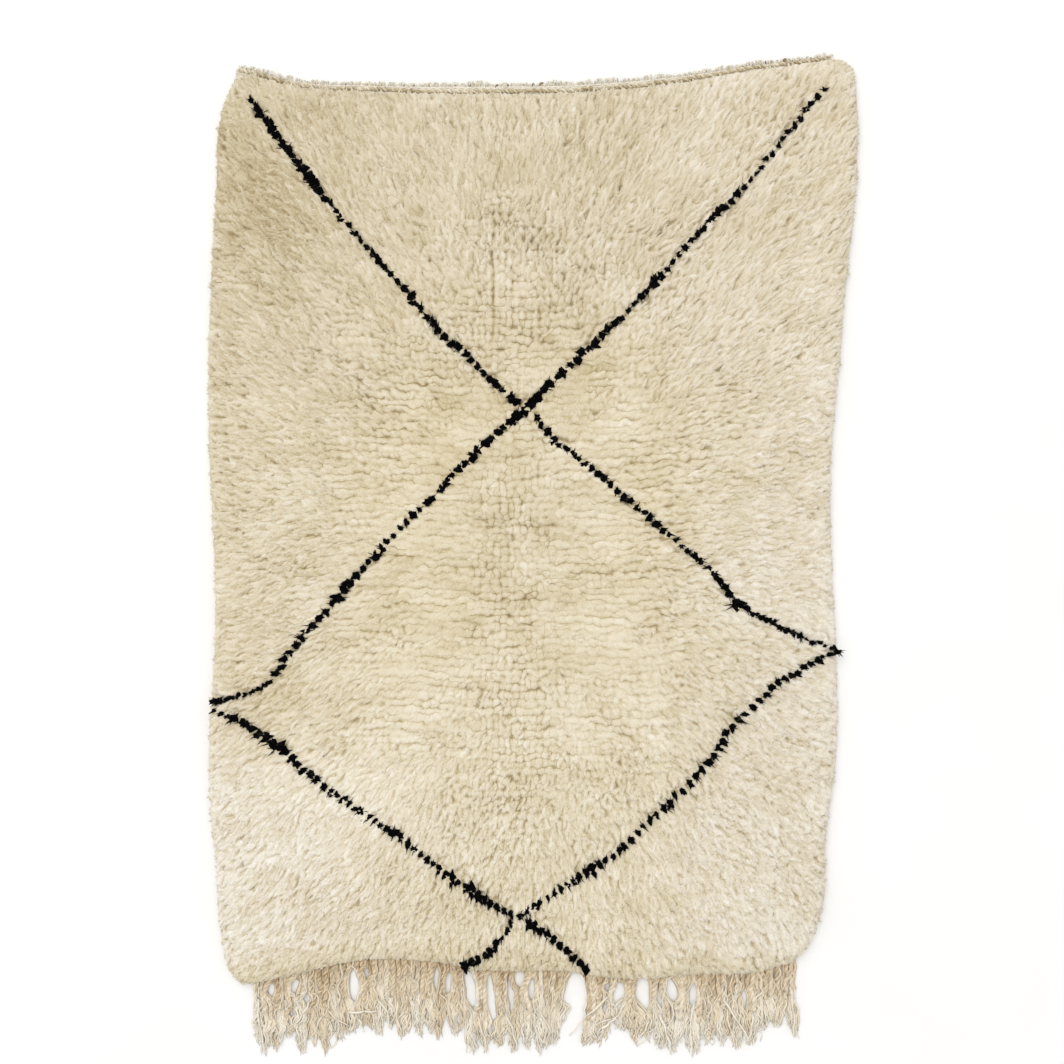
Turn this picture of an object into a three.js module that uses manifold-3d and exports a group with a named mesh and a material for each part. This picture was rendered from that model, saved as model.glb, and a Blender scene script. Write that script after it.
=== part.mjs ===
// A small hand-knotted wool rug, lying flat with its pile up. A woven ground carries a shaggy pile. The head
// end has a flat-woven heading with short warp loops, and the foot end has a fringe of plied warp ends.
import * as THREE from "three";
import { ImprovedNoise } from "three/addons/math/ImprovedNoise.js";
import { mergeVertices } from "three/addons/utils/BufferGeometryUtils.js";
import Module from "manifold-3d";

const wasm = await Module();
wasm.setup();

// Driving dimensions in millimetres. The rug rests on z = 0, with its head end towards +Y.
const pileLength = 1368; // from head to foot over the pile
const pileWidth = 950; // nominal; the table of sides gives the real, uneven width
const groundThickness = 4.5; // woven ground: warps, wefts and the feet of the knots
const pileHeight = 20; // of the pile above the ground
const cornerRadius = 34;

const lump = { size: 70, height: 3 }; // broad lumps of the pile
const tuft = { size: 27, height: 2 }; // bunches of knots on them
const parting = { across: -25, width: 45, depth: 2.5 }; // shallow furrow down the middle

// Locks of pile around the rim: how far they stand out and back from the outline, and their droop.
const lock = { count: 240, out: 3, outUneven: 3, back: 6, backUneven: 1.5, shift: 0.15, low: 8, high: 11 };
const groundInset = 8; // the ground's edge lies this far inside the pile's outline
const roll = { inset: 15, height: 0.86, uneven: 1.5 }; // where the pile rolls over the rim
const grid = { inset: 38, across: 36, along: 52 }; // faces on the pile's top

const heading = { left: -442, right: 470, atEnds: 9, inMiddle: 17, under: 14, thickness: 4, steps: 40 };
const warpLoop = { pitch: 6.4, height: 4, uneven: 1.5 }; // short loops of warp along the heading's edge
const headCord = { diameter: 5.5, sides: 6, inset: 4, shortBy: 6 }; // twined cord that closes the heading

const seam = 0.3; // parts the fringe from the ground's edge
const rootStrip = { width: 7, thickness: 4 }; // joins the roots of the fringe
const strand = { width: 4.4, height: 3.8, gap: 1, tipScale: 0.55, shortBy: 4, uneven: 8, steps: 5 };
const wave = { width: 3, length: 75, drift: 260, start: 40 }; // slow waves of the strands

// Hand weaving is uneven: distance of each side from the centre line, down the length.
const sides = [
  { along: 0, left: 440, right: 500 },
  { along: 56, left: 462, right: 507 },
  { along: 200, left: 474, right: 507 },
  { along: 350, left: 482, right: 491 },
  { along: 460, left: 485, right: 482 },
  { along: 570, left: 484, right: 471 },
  { along: 680, left: 478, right: 467 },
  { along: 860, left: 475, right: 473 },
  { along: 970, left: 482, right: 477 },
  { along: 1080, left: 483, right: 475 },
  { along: 1190, left: 473, right: 461 },
  { along: 1300, left: 464, right: 455 },
  { along: 1368, left: 448, right: 430 },
];

// The two ends, across the width: how far each lies from its straight line, towards the foot.
const ends = [
  { across: -480, head: -14, foot: 22 },
  { across: -430, head: -8, foot: 20 },
  { across: -360, head: 11, foot: 5 },
  { across: -240, head: 21, foot: -20 },
  { across: -140, head: 24, foot: -16 },
  { across: -60, head: 24, foot: -3 },
  { across: 50, head: 23, foot: -2 },
  { across: 160, head: 16, foot: 10 },
  { across: 270, head: 2, foot: 3 },
  { across: 350, head: -12, foot: 1 },
  { across: 420, head: -21, foot: -20 },
  { across: 500, head: -34, foot: -50 },
];

// The fringe hangs together in tassels: the edges of each at its roots and tips, across, and how far its
// tips reach past the foot's straight line.
const tassels = [
  { rootLeft: -416, rootRight: -397, tipLeft: -411, tipRight: -388, reach: 130 },
  { rootLeft: -383, rootRight: -360, tipLeft: -383, tipRight: -354, reach: 114 },
  { rootLeft: -346, rootRight: -328, tipLeft: -351, tipRight: -331, reach: 112 },
  { rootLeft: -325, rootRight: -272, tipLeft: -327, tipRight: -275, reach: 122 },
  { rootLeft: -252, rootRight: -141, tipLeft: -266, tipRight: -152, reach: 106 },
  { rootLeft: -130, rootRight: -120, tipLeft: -142, tipRight: -132, reach: 109 },
  { rootLeft: -112, rootRight: -94, tipLeft: -117, tipRight: -92, reach: 100 },
  { rootLeft: -78, rootRight: -58, tipLeft: -84, tipRight: -52, reach: 127 },
  { rootLeft: -46, rootRight: -27, tipLeft: -44, tipRight: -24, reach: 122 },
  { rootLeft: -6, rootRight: 5, tipLeft: -20, tipRight: 3, reach: 122 },
  { rootLeft: 15, rootRight: 62, tipLeft: 8, tipRight: 58, reach: 125 },
  { rootLeft: 97, rootRight: 120, tipLeft: 90, tipRight: 116, reach: 116 },
  { rootLeft: 132, rootRight: 141, tipLeft: 123, tipRight: 132, reach: 76 },
  { rootLeft: 155, rootRight: 167, tipLeft: 147, tipRight: 177, reach: 105 },
  { rootLeft: 193, rootRight: 201, tipLeft: 189, tipRight: 202, reach: 124 },
  { rootLeft: 208, rootRight: 217, tipLeft: 213, tipRight: 229, reach: 128 },
  { rootLeft: 230, rootRight: 251, tipLeft: 237, tipRight: 259, reach: 124 },
  { rootLeft: 264, rootRight: 327, tipLeft: 267, tipRight: 333, reach: 114 },
  { rootLeft: 340, rootRight: 409, tipLeft: 340, tipRight: 417, reach: 94 },
];

const { clamp, lerp, seededRandom, smoothstep } = THREE.MathUtils;
const noise = new ImprovedNoise();
seededRandom(31);

const range = (count) => Array.from({ length: count }, (_, i) => i);
const jitter = (size) => (seededRandom() * 2 - 1) * size;

// A smooth curve through one column of a table.
function column(table, key, value) {
  const keys = table.map((row) => row[key]);
  const values = table.map((row) => row[value]);
  const curve = new THREE.CubicInterpolant(keys, values, 1);
  return (at) => curve.evaluate(at)[0];
}

const leftSide = column(sides, "along", "left");
const rightSide = column(sides, "along", "right");
const headEdge = column(ends, "across", "head");
const footEdge = column(ends, "across", "foot");

// Pulls each corner of the square from -1 to 1 in to a quarter circle of the corner radius.
function roundCorner(a, b) {
  const startA = 1 - (2 * cornerRadius) / pileWidth;
  const startB = 1 - (2 * cornerRadius) / pileLength;
  const pastA = Math.max(0, (Math.abs(a) - startA) / (1 - startA));
  const pastB = Math.max(0, (Math.abs(b) - startB) / (1 - startB));
  if (pastA === 0 || pastB === 0) {
    return [a, b];
  }
  const pull = Math.max(pastA, pastB) / Math.hypot(pastA, pastB);
  return [
    Math.sign(a) * (startA + pastA * pull * (1 - startA)),
    Math.sign(b) * (startB + pastB * pull * (1 - startB)),
  ];
}

// Where a point of the square lies on the rug: a runs from the left side to the right, b from foot to head.
function place(a, b) {
  const [across, up] = roundCorner(a, b);
  const down = (1 - up) / 2;
  const x = across * (across < 0 ? leftSide : rightSide)(down * pileLength);
  const y = -lerp(headEdge(x), pileLength + footEdge(x), down);
  return new THREE.Vector3(x, y, 0);
}

// The pile's outline, anticlockwise from the foot's left corner.
function outlineCurve() {
  const perSide = 24;
  const corners = [
    [-1, -1],
    [1, -1],
    [1, 1],
    [-1, 1],
  ];
  const points = corners.flatMap((from, n) => {
    const to = corners[(n + 1) % corners.length];
    return range(perSide).map((i) => {
      const t = (1 - Math.cos((Math.PI * i) / perSide)) / 2; // closer together at the corners
      return place(lerp(from[0], to[0], t), lerp(from[1], to[1], t));
    });
  });
  const curve = new THREE.CatmullRomCurve3(points, true);
  curve.arcLengthDivisions = 1500;
  return curve;
}

// The foot and the head edge, as shares of the way round the outline.
const outline = outlineCurve();
const footRun = { from: 0.01, to: 0.2 };
const headRun = { from: 0.5, to: 0.7 };

// A point beside the outline: at is the share of the way round, outset is how far outside it lies.
function beside(at, outset, z = 0) {
  const around = ((at % 1) + 1) % 1;
  const p = outline.getPointAt(around);
  const t = outline.getTangentAt(around);
  return new THREE.Vector3(p.x + t.y * outset, p.y - t.x * outset, z);
}

// The share of the way round at which an end's edge passes a distance across.
function passes(across, run) {
  let { from, to } = run;
  const rising = outline.getPointAt(to).x > outline.getPointAt(from).x;
  const halvings = 30;
  for (let i = 0; i < halvings; i++) {
    const middle = (from + to) / 2;
    if (outline.getPointAt(middle).x < across === rising) {
      from = middle;
    } else {
      to = middle;
    }
  }
  return from;
}

function pileTop(x, y) {
  const lumps = 2 * lump.height * noise.noise(x / lump.size, y / lump.size, 0.5);
  const tufts = 2 * tuft.height * noise.noise(x / tuft.size, y / tuft.size, 7.5);
  const furrow = parting.depth * Math.exp(-(((x - parting.across) / parting.width) ** 2));
  return groundThickness + pileHeight + lumps + tufts - furrow;
}

function toManifold(geometry) {
  geometry.deleteAttribute("normal");
  geometry.deleteAttribute("uv");
  const merged = mergeVertices(geometry, 1e-3);
  return new wasm.Manifold(
    new wasm.Mesh({
      numProp: 3,
      vertProperties: new Float32Array(merged.attributes.position.array),
      triVerts: new Uint32Array(merged.index.array),
    }),
  );
}

function toGeometry(manifold) {
  const mesh = manifold.getMesh();
  const geometry = new THREE.BufferGeometry();
  geometry.setAttribute("position", new THREE.BufferAttribute(mesh.vertProperties, 3));
  geometry.setIndex(new THREE.BufferAttribute(mesh.triVerts, 1));
  geometry.computeVertexNormals();
  return geometry;
}

// The corners of the pile's top, in an even grid held in from the rim.
function topGrid() {
  const reachA = 1 - (2 * grid.inset) / pileWidth;
  const reachB = 1 - (2 * grid.inset) / pileLength;
  return range(grid.along + 1).flatMap((j) =>
    range(grid.across + 1).map((i) => {
      const a = lerp(-reachA, reachA, i / grid.across);
      const b = lerp(-reachB, reachB, j / grid.along);
      const p = place(a, b);
      p.z = pileTop(p.x, p.y);
      return p;
    }),
  );
}

// The rim's points: a notch and a tip for each lock, alternating.
function lockRim() {
  const droop = () => lerp(lock.low, lock.high, seededRandom());
  return range(lock.count).flatMap((i) => {
    const notch = beside(i / lock.count, -lock.back + jitter(lock.backUneven), droop());
    const tipAt = (i + 0.5 + jitter(lock.shift)) / lock.count;
    return [notch, beside(tipAt, lock.out + jitter(lock.outUneven), droop())];
  });
}

// The lumpy slab of pile on its ground, with one pointed lock for each step around the rim.
function pileSlab() {
  const { count } = lock;
  const rim = lockRim();
  const ground = range(count).map((i) => beside(i / count, -groundInset, groundThickness));
  const floor = ground.map((p) => new THREE.Vector3(p.x, p.y, 0));
  const rollover = range(count).map((i) => {
    const p = beside(i / count, -roll.inset + jitter(roll.uneven));
    p.z = pileTop(p.x, p.y) * roll.height;
    return p;
  });
  const points = [...rim, ...ground, ...floor, ...rollover, ...topGrid()];
  const groundStart = rim.length;
  const floorStart = groundStart + count;
  const rollStart = floorStart + count;
  const topStart = rollStart + count;
  const faces = [];

  // Each lock: its back up to the roll, its underside in to the ground's edge, and that edge to the floor.
  for (let i = 0; i < count; i++) {
    const next = (i + 1) % count;
    const notch = 2 * i;
    const tip = notch + 1;
    faces.push([notch, tip, rollStart + i]);
    faces.push([tip, rollStart + next, rollStart + i]);
    faces.push([tip, 2 * next, rollStart + next]);
    faces.push([notch, groundStart + i, tip]);
    faces.push([tip, groundStart + i, groundStart + next]);
    faces.push([tip, groundStart + next, 2 * next]);
    faces.push([groundStart + i, floorStart + i, groundStart + next]);
    faces.push([groundStart + next, floorStart + i, floorStart + next]);
  }
  THREE.ShapeUtils.triangulateShape(floor, []).forEach(([a, b, c]) => {
    faces.push([floorStart + a, floorStart + c, floorStart + b]);
  });

  // The top's grid, then the band that joins it to the roll.
  const at = (i, j) => topStart + j * (grid.across + 1) + i;
  for (let j = 0; j < grid.along; j++) {
    for (let i = 0; i < grid.across; i++) {
      faces.push([at(i, j), at(i + 1, j), at(i + 1, j + 1)]);
      faces.push([at(i, j), at(i + 1, j + 1), at(i, j + 1)]);
    }
  }
  const inner = [
    ...range(grid.along).map((j) => at(0, j)),
    ...range(grid.across).map((i) => at(i, grid.along)),
    ...range(grid.along).map((j) => at(grid.across, grid.along - j)),
    ...range(grid.across).map((i) => at(grid.across - i, 0)),
  ];
  const hole = inner.map((n) => points[n]);
  THREE.ShapeUtils.triangulateShape(rollover, [hole]).forEach((face) => {
    faces.push(face.map((n) => (n < count ? rollStart + n : inner[n - count])));
  });

  const geometry = new THREE.BufferGeometry();
  geometry.setFromPoints(points);
  geometry.setIndex(faces.flat());
  return toManifold(geometry);
}

// How far the heading reaches past the pile, less at its two ends.
function headingDepth(at) {
  const share = outline.getPointAt(at).x / heading.right;
  return lerp(heading.inMiddle, heading.atEnds, clamp(share * share, 0, 1));
}

function flatHeading() {
  const from = passes(heading.right, headRun);
  const to = passes(heading.left, headRun);
  const loops = Math.round(((to - from) * outline.getLength()) / warpLoop.pitch);
  const outer = range(2 * loops + 1).map((i) => {
    const at = lerp(from, to, i / (2 * loops));
    const rise = i % 2 ? warpLoop.height + jitter(warpLoop.uneven) : 0;
    return beside(at, headingDepth(at) - warpLoop.height + rise);
  });
  const inner = range(heading.steps + 1).map((i) => {
    return beside(lerp(to, from, i / heading.steps), -heading.under);
  });
  const shape = new THREE.Shape([...outer, ...inner].map((p) => new THREE.Vector2(p.x, p.y)));
  return toManifold(
    new THREE.ExtrudeGeometry(shape, { depth: heading.thickness, bevelEnabled: false }),
  );
}

function headingCord() {
  const from = passes(heading.right - headCord.shortBy, headRun);
  const to = passes(heading.left + headCord.shortBy, headRun);
  const radius = headCord.diameter / 2;
  const points = range(heading.steps + 1).map((i) => {
    const at = lerp(from, to, i / heading.steps);
    return beside(at, headingDepth(at) - warpLoop.height - headCord.inset, radius);
  });
  const section = new THREE.Shape(
    range(headCord.sides).map((i) => {
      const turn = (2 * Math.PI * i) / headCord.sides;
      return new THREE.Vector2(radius * Math.cos(turn), radius * Math.sin(turn));
    }),
  );
  return toManifold(
    new THREE.ExtrudeGeometry(section, {
      steps: heading.steps,
      extrudePath: new THREE.CatmullRomCurve3(points),
      bevelEnabled: false,
    }),
  );
}

// The strip follows the ground's edge at the seam, corner by corner.
function fringeStrip() {
  const first = passes(tassels[0].rootLeft, footRun);
  const last = passes(tassels[tassels.length - 1].rootRight, footRun);
  const start = Math.floor(first * lock.count);
  const corners = range(Math.ceil(last * lock.count) - start + 1).map((i) => (start + i) / lock.count);
  const near = corners.map((at) => beside(at, seam - groundInset));
  const far = corners.map((at) => beside(at, seam - groundInset + rootStrip.width));
  const shape = new THREE.Shape([...far, ...near.reverse()].map((p) => new THREE.Vector2(p.x, p.y)));
  return toManifold(
    new THREE.ExtrudeGeometry(shape, { depth: rootStrip.thickness, bevelEnabled: false }),
  );
}

// Strands that lie side by side share this sideways wave, so that no two of them touch.
function sway(x, down) {
  const turn = (Math.PI * down) / wave.length + x / wave.drift;
  return wave.width * Math.sin(turn) * smoothstep(down, 0, wave.start);
}

// One strand: a bar with a flat underside on the floor, thinner towards its tip.
function fringeStrand(root, tip) {
  const bar = new THREE.BoxGeometry(1, 1, 1, 1, strand.steps, 1);
  const position = bar.attributes.position;
  for (let i = 0; i < position.count; i++) {
    const share = 0.5 - position.getY(i);
    const scale = lerp(1, strand.tipScale, share);
    const down = share * (root.y - tip.y);
    const middle = lerp(root.x, tip.x, smoothstep(share, 0, 1)) + sway(root.x, down);
    const x = middle + position.getX(i) * strand.width * scale;
    const z = (position.getZ(i) + 0.5) * strand.height * scale;
    position.setXYZ(i, x, root.y - down, z);
  }
  return toManifold(bar);
}

function tasselStrands(tassel) {
  const half = strand.width / 2;
  const rootWidth = tassel.rootRight - tassel.rootLeft;
  const count = Math.max(1, Math.floor((rootWidth + strand.gap) / (strand.width + strand.gap)));
  return range(count).map((i) => {
    const share = count > 1 ? i / (count - 1) : 0.5;
    const rootX = lerp(tassel.rootLeft + half, tassel.rootRight - half, share);
    const root = beside(passes(rootX, footRun), seam - groundInset + rootStrip.width / 2);
    const tip = new THREE.Vector2(
      lerp(tassel.tipLeft + half, tassel.tipRight - half, share),
      -pileLength - tassel.reach + strand.shortBy + jitter(strand.uneven),
    );
    return fringeStrand(root, tip);
  });
}

function rugBody() {
  return toGeometry(pileSlab().add(flatHeading()).add(headingCord()));
}

function warpFringe() {
  const strands = tassels.flatMap(tasselStrands);
  return toGeometry(strands.reduce((joined, next) => joined.add(next), fringeStrip()));
}

const creamPile = new THREE.MeshStandardMaterial({ color: 0xdccfb0, roughness: 0.95, metalness: 0 });
const warpYarn = new THREE.MeshStandardMaterial({ color: 0xd4c3a3, roughness: 0.9, metalness: 0 });

const body = new THREE.Mesh(rugBody(), creamPile);
body.name = "rug_body";
const fringe = new THREE.Mesh(warpFringe(), warpYarn);
fringe.name = "fringe";

const rug = new THREE.Group();
rug.name = "rug";
rug.add(body, fringe);

// The origin is on the floor under the middle of the rug's bounding box.
const middle = new THREE.Box3().setFromObject(rug).getCenter(new THREE.Vector3());
rug.position.set(-middle.x, -middle.y, 0);

export default rug;
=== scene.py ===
import math

import bpy
import numpy as np
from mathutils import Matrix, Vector


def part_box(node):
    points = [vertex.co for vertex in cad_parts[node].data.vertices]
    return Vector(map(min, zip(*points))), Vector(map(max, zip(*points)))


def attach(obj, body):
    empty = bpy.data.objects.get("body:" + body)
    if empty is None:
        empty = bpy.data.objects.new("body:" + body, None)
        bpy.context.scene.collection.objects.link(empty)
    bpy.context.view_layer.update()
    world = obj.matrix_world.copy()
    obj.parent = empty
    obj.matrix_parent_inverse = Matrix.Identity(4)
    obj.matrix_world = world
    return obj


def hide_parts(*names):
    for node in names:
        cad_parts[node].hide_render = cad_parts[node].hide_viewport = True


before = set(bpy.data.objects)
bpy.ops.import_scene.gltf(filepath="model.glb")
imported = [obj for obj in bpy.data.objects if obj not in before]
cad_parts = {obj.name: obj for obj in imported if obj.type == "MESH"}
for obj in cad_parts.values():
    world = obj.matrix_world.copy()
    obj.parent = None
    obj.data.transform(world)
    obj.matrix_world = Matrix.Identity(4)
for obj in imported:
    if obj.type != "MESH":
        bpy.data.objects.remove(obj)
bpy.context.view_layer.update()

bodyLow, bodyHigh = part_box("rug_body")

# Everything is in metres. The rug lies on z = 0 with its head end towards +Y and its pile up.
# The centre line and the head line are the straight lines that the uneven edges are told from.
rugLayout = {
    "pileLength": 1.368,
    "pileWidth": 0.950,
    "cornerRadius": 0.034,
    "centreLine": bodyLow.x + 0.4897,
    "headLine": bodyHigh.y - 0.0356,
}
halfWidth, halfLength = rugLayout["pileWidth"] / 2, rugLayout["pileLength"] / 2

# How far each side stands from the centre line, at distances down from the head line.
rugSides = {
    "down": (0.000, 0.056, 0.200, 0.350, 0.460, 0.570, 0.680, 0.860, 0.970, 1.080, 1.190, 1.300, 1.368),
    "left": (0.440, 0.462, 0.474, 0.482, 0.485, 0.484, 0.478, 0.475, 0.482, 0.483, 0.473, 0.464, 0.448),
    "right": (0.500, 0.507, 0.507, 0.491, 0.482, 0.471, 0.467, 0.473, 0.477, 0.475, 0.461, 0.455, 0.430),
}

# How far each end lies past its straight line, towards the foot, at places across.
rugEnds = {
    "across": (-0.480, -0.430, -0.360, -0.240, -0.140, -0.060, 0.050, 0.160, 0.270, 0.350, 0.420, 0.500),
    "head": (-0.014, -0.008, 0.011, 0.021, 0.024, 0.024, 0.023, 0.016, 0.002, -0.012, -0.021, -0.034),
    "foot": (0.022, 0.020, 0.005, -0.020, -0.016, -0.003, -0.002, 0.010, 0.003, 0.001, -0.020, -0.050),
}


def smoothCurve(keys, values):
    # a smooth curve through the values at the keys
    keys, values = np.array(keys), np.array(values)
    slopes = np.gradient(values, keys)

    def curve(at):
        at = np.clip(at, keys[0], keys[-1])
        n = np.clip(np.searchsorted(keys, at, side="right") - 1, 0, len(keys) - 2)
        step = keys[n + 1] - keys[n]
        t = (at - keys[n]) / step
        start = (2 * t**3 - 3 * t**2 + 1) * values[n] + (t**3 - 2 * t**2 + t) * step * slopes[n]
        end = (3 * t**2 - 2 * t**3) * values[n + 1] + (t**3 - t**2) * step * slopes[n + 1]
        return start + end

    return curve


leftSide = smoothCurve(rugSides["down"], rugSides["left"])
rightSide = smoothCurve(rugSides["down"], rugSides["right"])
headEdge = smoothCurve(rugEnds["across"], rugEnds["head"])
footEdge = smoothCurve(rugEnds["across"], rugEnds["foot"])


def smoothStep(value, start=0.0, end=1.0):
    t = np.clip((value - start) / (end - start), 0, 1)
    return t * t * (3 - 2 * t)


def softNoise(x, y, cell, seed):
    # smooth random hills from -1 to 1, one to a cell, shifted so that no cell starts on the centre line
    size, shiftX, shiftY = 97, 31.4, 27.2
    lattice = np.random.default_rng(seed).uniform(-1, 1, (size, size))
    u, v = x / cell + shiftX, y / cell + shiftY
    i, j = np.floor(u).astype(int), np.floor(v).astype(int)
    s, t = smoothStep(u - i), smoothStep(v - j)
    low = lattice[i % size, j % size] * (1 - s) + lattice[(i + 1) % size, j % size] * s
    high = lattice[i % size, (j + 1) % size] * (1 - s) + lattice[(i + 1) % size, (j + 1) % size] * s
    return low * (1 - t) + high * t


def roughen(values, x, y, *layers):
    # adds layers of soft noise, each a height, a cell and a seed
    for height, cell, seed in layers:
        values = values + height * softNoise(x, y, cell, seed)
    return values


def zoned(values, a, b, zones):
    # adds each zone's amount: a zone sets in towards a side or an end, or ends short of it
    towards = {"right": a, "left": -a, "head": b, "foot": -b}
    for amount, *fades in zones:
        for way, start, end in fades:
            fade = smoothStep(towards[way.split()[-1]], start, end)
            amount = amount * (1 - fade if way.startswith("short of") else fade)
        values = values + amount
    return values


def place(a, b):
    # a runs from the left side (-1) to the right (1), b from the foot (-1) to the head (1)
    length, radius = rugLayout["pileLength"], rugLayout["cornerRadius"]
    startA, startB = 1 - 2 * radius / rugLayout["pileWidth"], 1 - 2 * radius / length
    pastA = np.maximum(0, (np.abs(a) - startA) / (1 - startA))
    pastB = np.maximum(0, (np.abs(b) - startB) / (1 - startB))
    atCorner = (pastA > 0) & (pastB > 0)
    pull = np.maximum(pastA, pastB) / np.maximum(np.hypot(pastA, pastB), 1e-9)
    across = np.where(atCorner, np.sign(a) * (startA + pastA * pull * (1 - startA)), a)
    up = np.where(atCorner, np.sign(b) * (startB + pastB * pull * (1 - startB)), b)
    down = (1 - up) / 2
    x = across * np.where(across < 0, leftSide(down * length), rightSide(down * length))
    y = -(headEdge(x) * (1 - down) + (length + footEdge(x)) * down)
    return rugLayout["centreLine"] + x, rugLayout["headLine"] + y


def onRug(x, y):
    # from the centre line and the head line to the scene
    return rugLayout["centreLine"] + x, rugLayout["headLine"] + y


def withHeight(flat, z):
    return np.concatenate([flat, np.broadcast_to(np.reshape(z, (-1, 1)), (len(flat), 1))], axis=1)


def linearColour(hexText):
    # sRGB hex to the linear values that shader sockets take
    parts = [int(hexText[n : n + 2], 16) / 255 for n in (1, 3, 5)]
    return [*(p / 12.92 if p <= 0.04045 else ((p + 0.055) / 1.055) ** 2.4 for p in parts), 1.0]


def addNode(tree, kind, settings=None, links=None, out=0):
    # adds a node, sets its values, stops and sockets, links its inputs and returns one of its outputs
    node = tree.nodes.new(kind)
    for name, value in (settings or {}).items():
        if name == "stops":  # of a colour ramp: places and sRGB hex values
            elements = node.color_ramp.elements
            for n, (position, hexText) in enumerate(value):
                element = elements[n] if n < 2 else elements.new(position)
                element.position = position
                element.color = linearColour(hexText)
        elif isinstance(name, str) and hasattr(node, name):
            setattr(node, name, value)
        else:
            node.inputs[name].default_value = value
    for name, source in (links or {}).items():
        tree.links.new(source, node.inputs[name])
    return node.outputs[out] if node.outputs else None


def startMaterial(name):
    material = bpy.data.materials.new(name)
    material.use_nodes = True
    material.node_tree.nodes.clear()
    return material, material.node_tree


def endMaterial(tree, settings, links):
    shader = addNode(tree, "ShaderNodeBsdfPrincipled", settings, links)
    addNode(tree, "ShaderNodeOutputMaterial", links={"Surface": shader})


# Each lock or yarn takes one cell of a chart of wool: its column sets the tone, its row the fibres.
# Across a cell runs round the lock and up the cell runs from root to tip.
woolChart = {"columns": 24, "rows": 6, "margin": 0.08}


def woolMaterial(name, tones, rootShade, fibres, settings):
    material, tree = startMaterial(name)
    chart = addNode(tree, "ShaderNodeUVMap", {"uv_map": "OFBake"})
    split = addNode(tree, "ShaderNodeSeparateXYZ", links={0: chart}).node
    column = addNode(
        tree, "ShaderNodeMath", {"operation": "MULTIPLY", 1: woolChart["columns"]}, {0: split.outputs["X"]}
    )
    row = addNode(
        tree, "ShaderNodeMath", {"operation": "MULTIPLY", 1: woolChart["rows"]}, {0: split.outputs["Y"]}
    )
    whole = addNode(tree, "ShaderNodeMath", {"operation": "FLOOR"}, {0: column})
    tone = addNode(tree, "ShaderNodeMath", {"operation": "DIVIDE", 1: woolChart["columns"] - 1.0}, {0: whole})
    along = addNode(tree, "ShaderNodeMath", {"operation": "FRACT"}, {0: row})

    # fibres: narrow across the lock, long along it
    across = addNode(tree, "ShaderNodeMath", {"operation": "MULTIPLY", 1: fibres["across"]}, {0: column})
    lengthways = addNode(tree, "ShaderNodeMath", {"operation": "MULTIPLY", 1: fibres["along"]}, {0: row})
    spot = addNode(tree, "ShaderNodeCombineXYZ", links={0: across, 1: lengthways})
    fibre = addNode(tree, "ShaderNodeTexNoise", {"Scale": 1.0, "Detail": 3.0, "Roughness": 0.65}, {0: spot})
    strength = addNode(
        tree, "ShaderNodeMapRange", {1: 0.3, 2: 0.7, 3: 1.0 - fibres["depth"], 4: 1.0}, {0: fibre}
    )
    # painted shade: each lock or yarn darkens towards the root end of its chart cell, where locks shade one
    # another
    shade = addNode(
        tree,
        "ShaderNodeMapRange",
        {"interpolation_type": "SMOOTHSTEP", 1: 0.05, 2: rootShade["until"], 3: rootShade["least"], 4: 1.0},
        {0: along},
    )
    both = addNode(tree, "ShaderNodeMath", {"operation": "MULTIPLY"}, {0: strength, 1: shade})
    wool = addNode(tree, "ShaderNodeValToRGB", {"stops": tones}, {"Fac": tone})
    colour = addNode(tree, "ShaderNodeVectorMath", {"operation": "SCALE"}, {0: wool, "Scale": both})
    bump = addNode(
        tree, "ShaderNodeBump", {"Strength": fibres["bump"], "Distance": 0.0005}, {"Height": fibre}
    )
    endMaterial(tree, settings, {"Base Color": colour, "Normal": bump})
    return material


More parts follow.
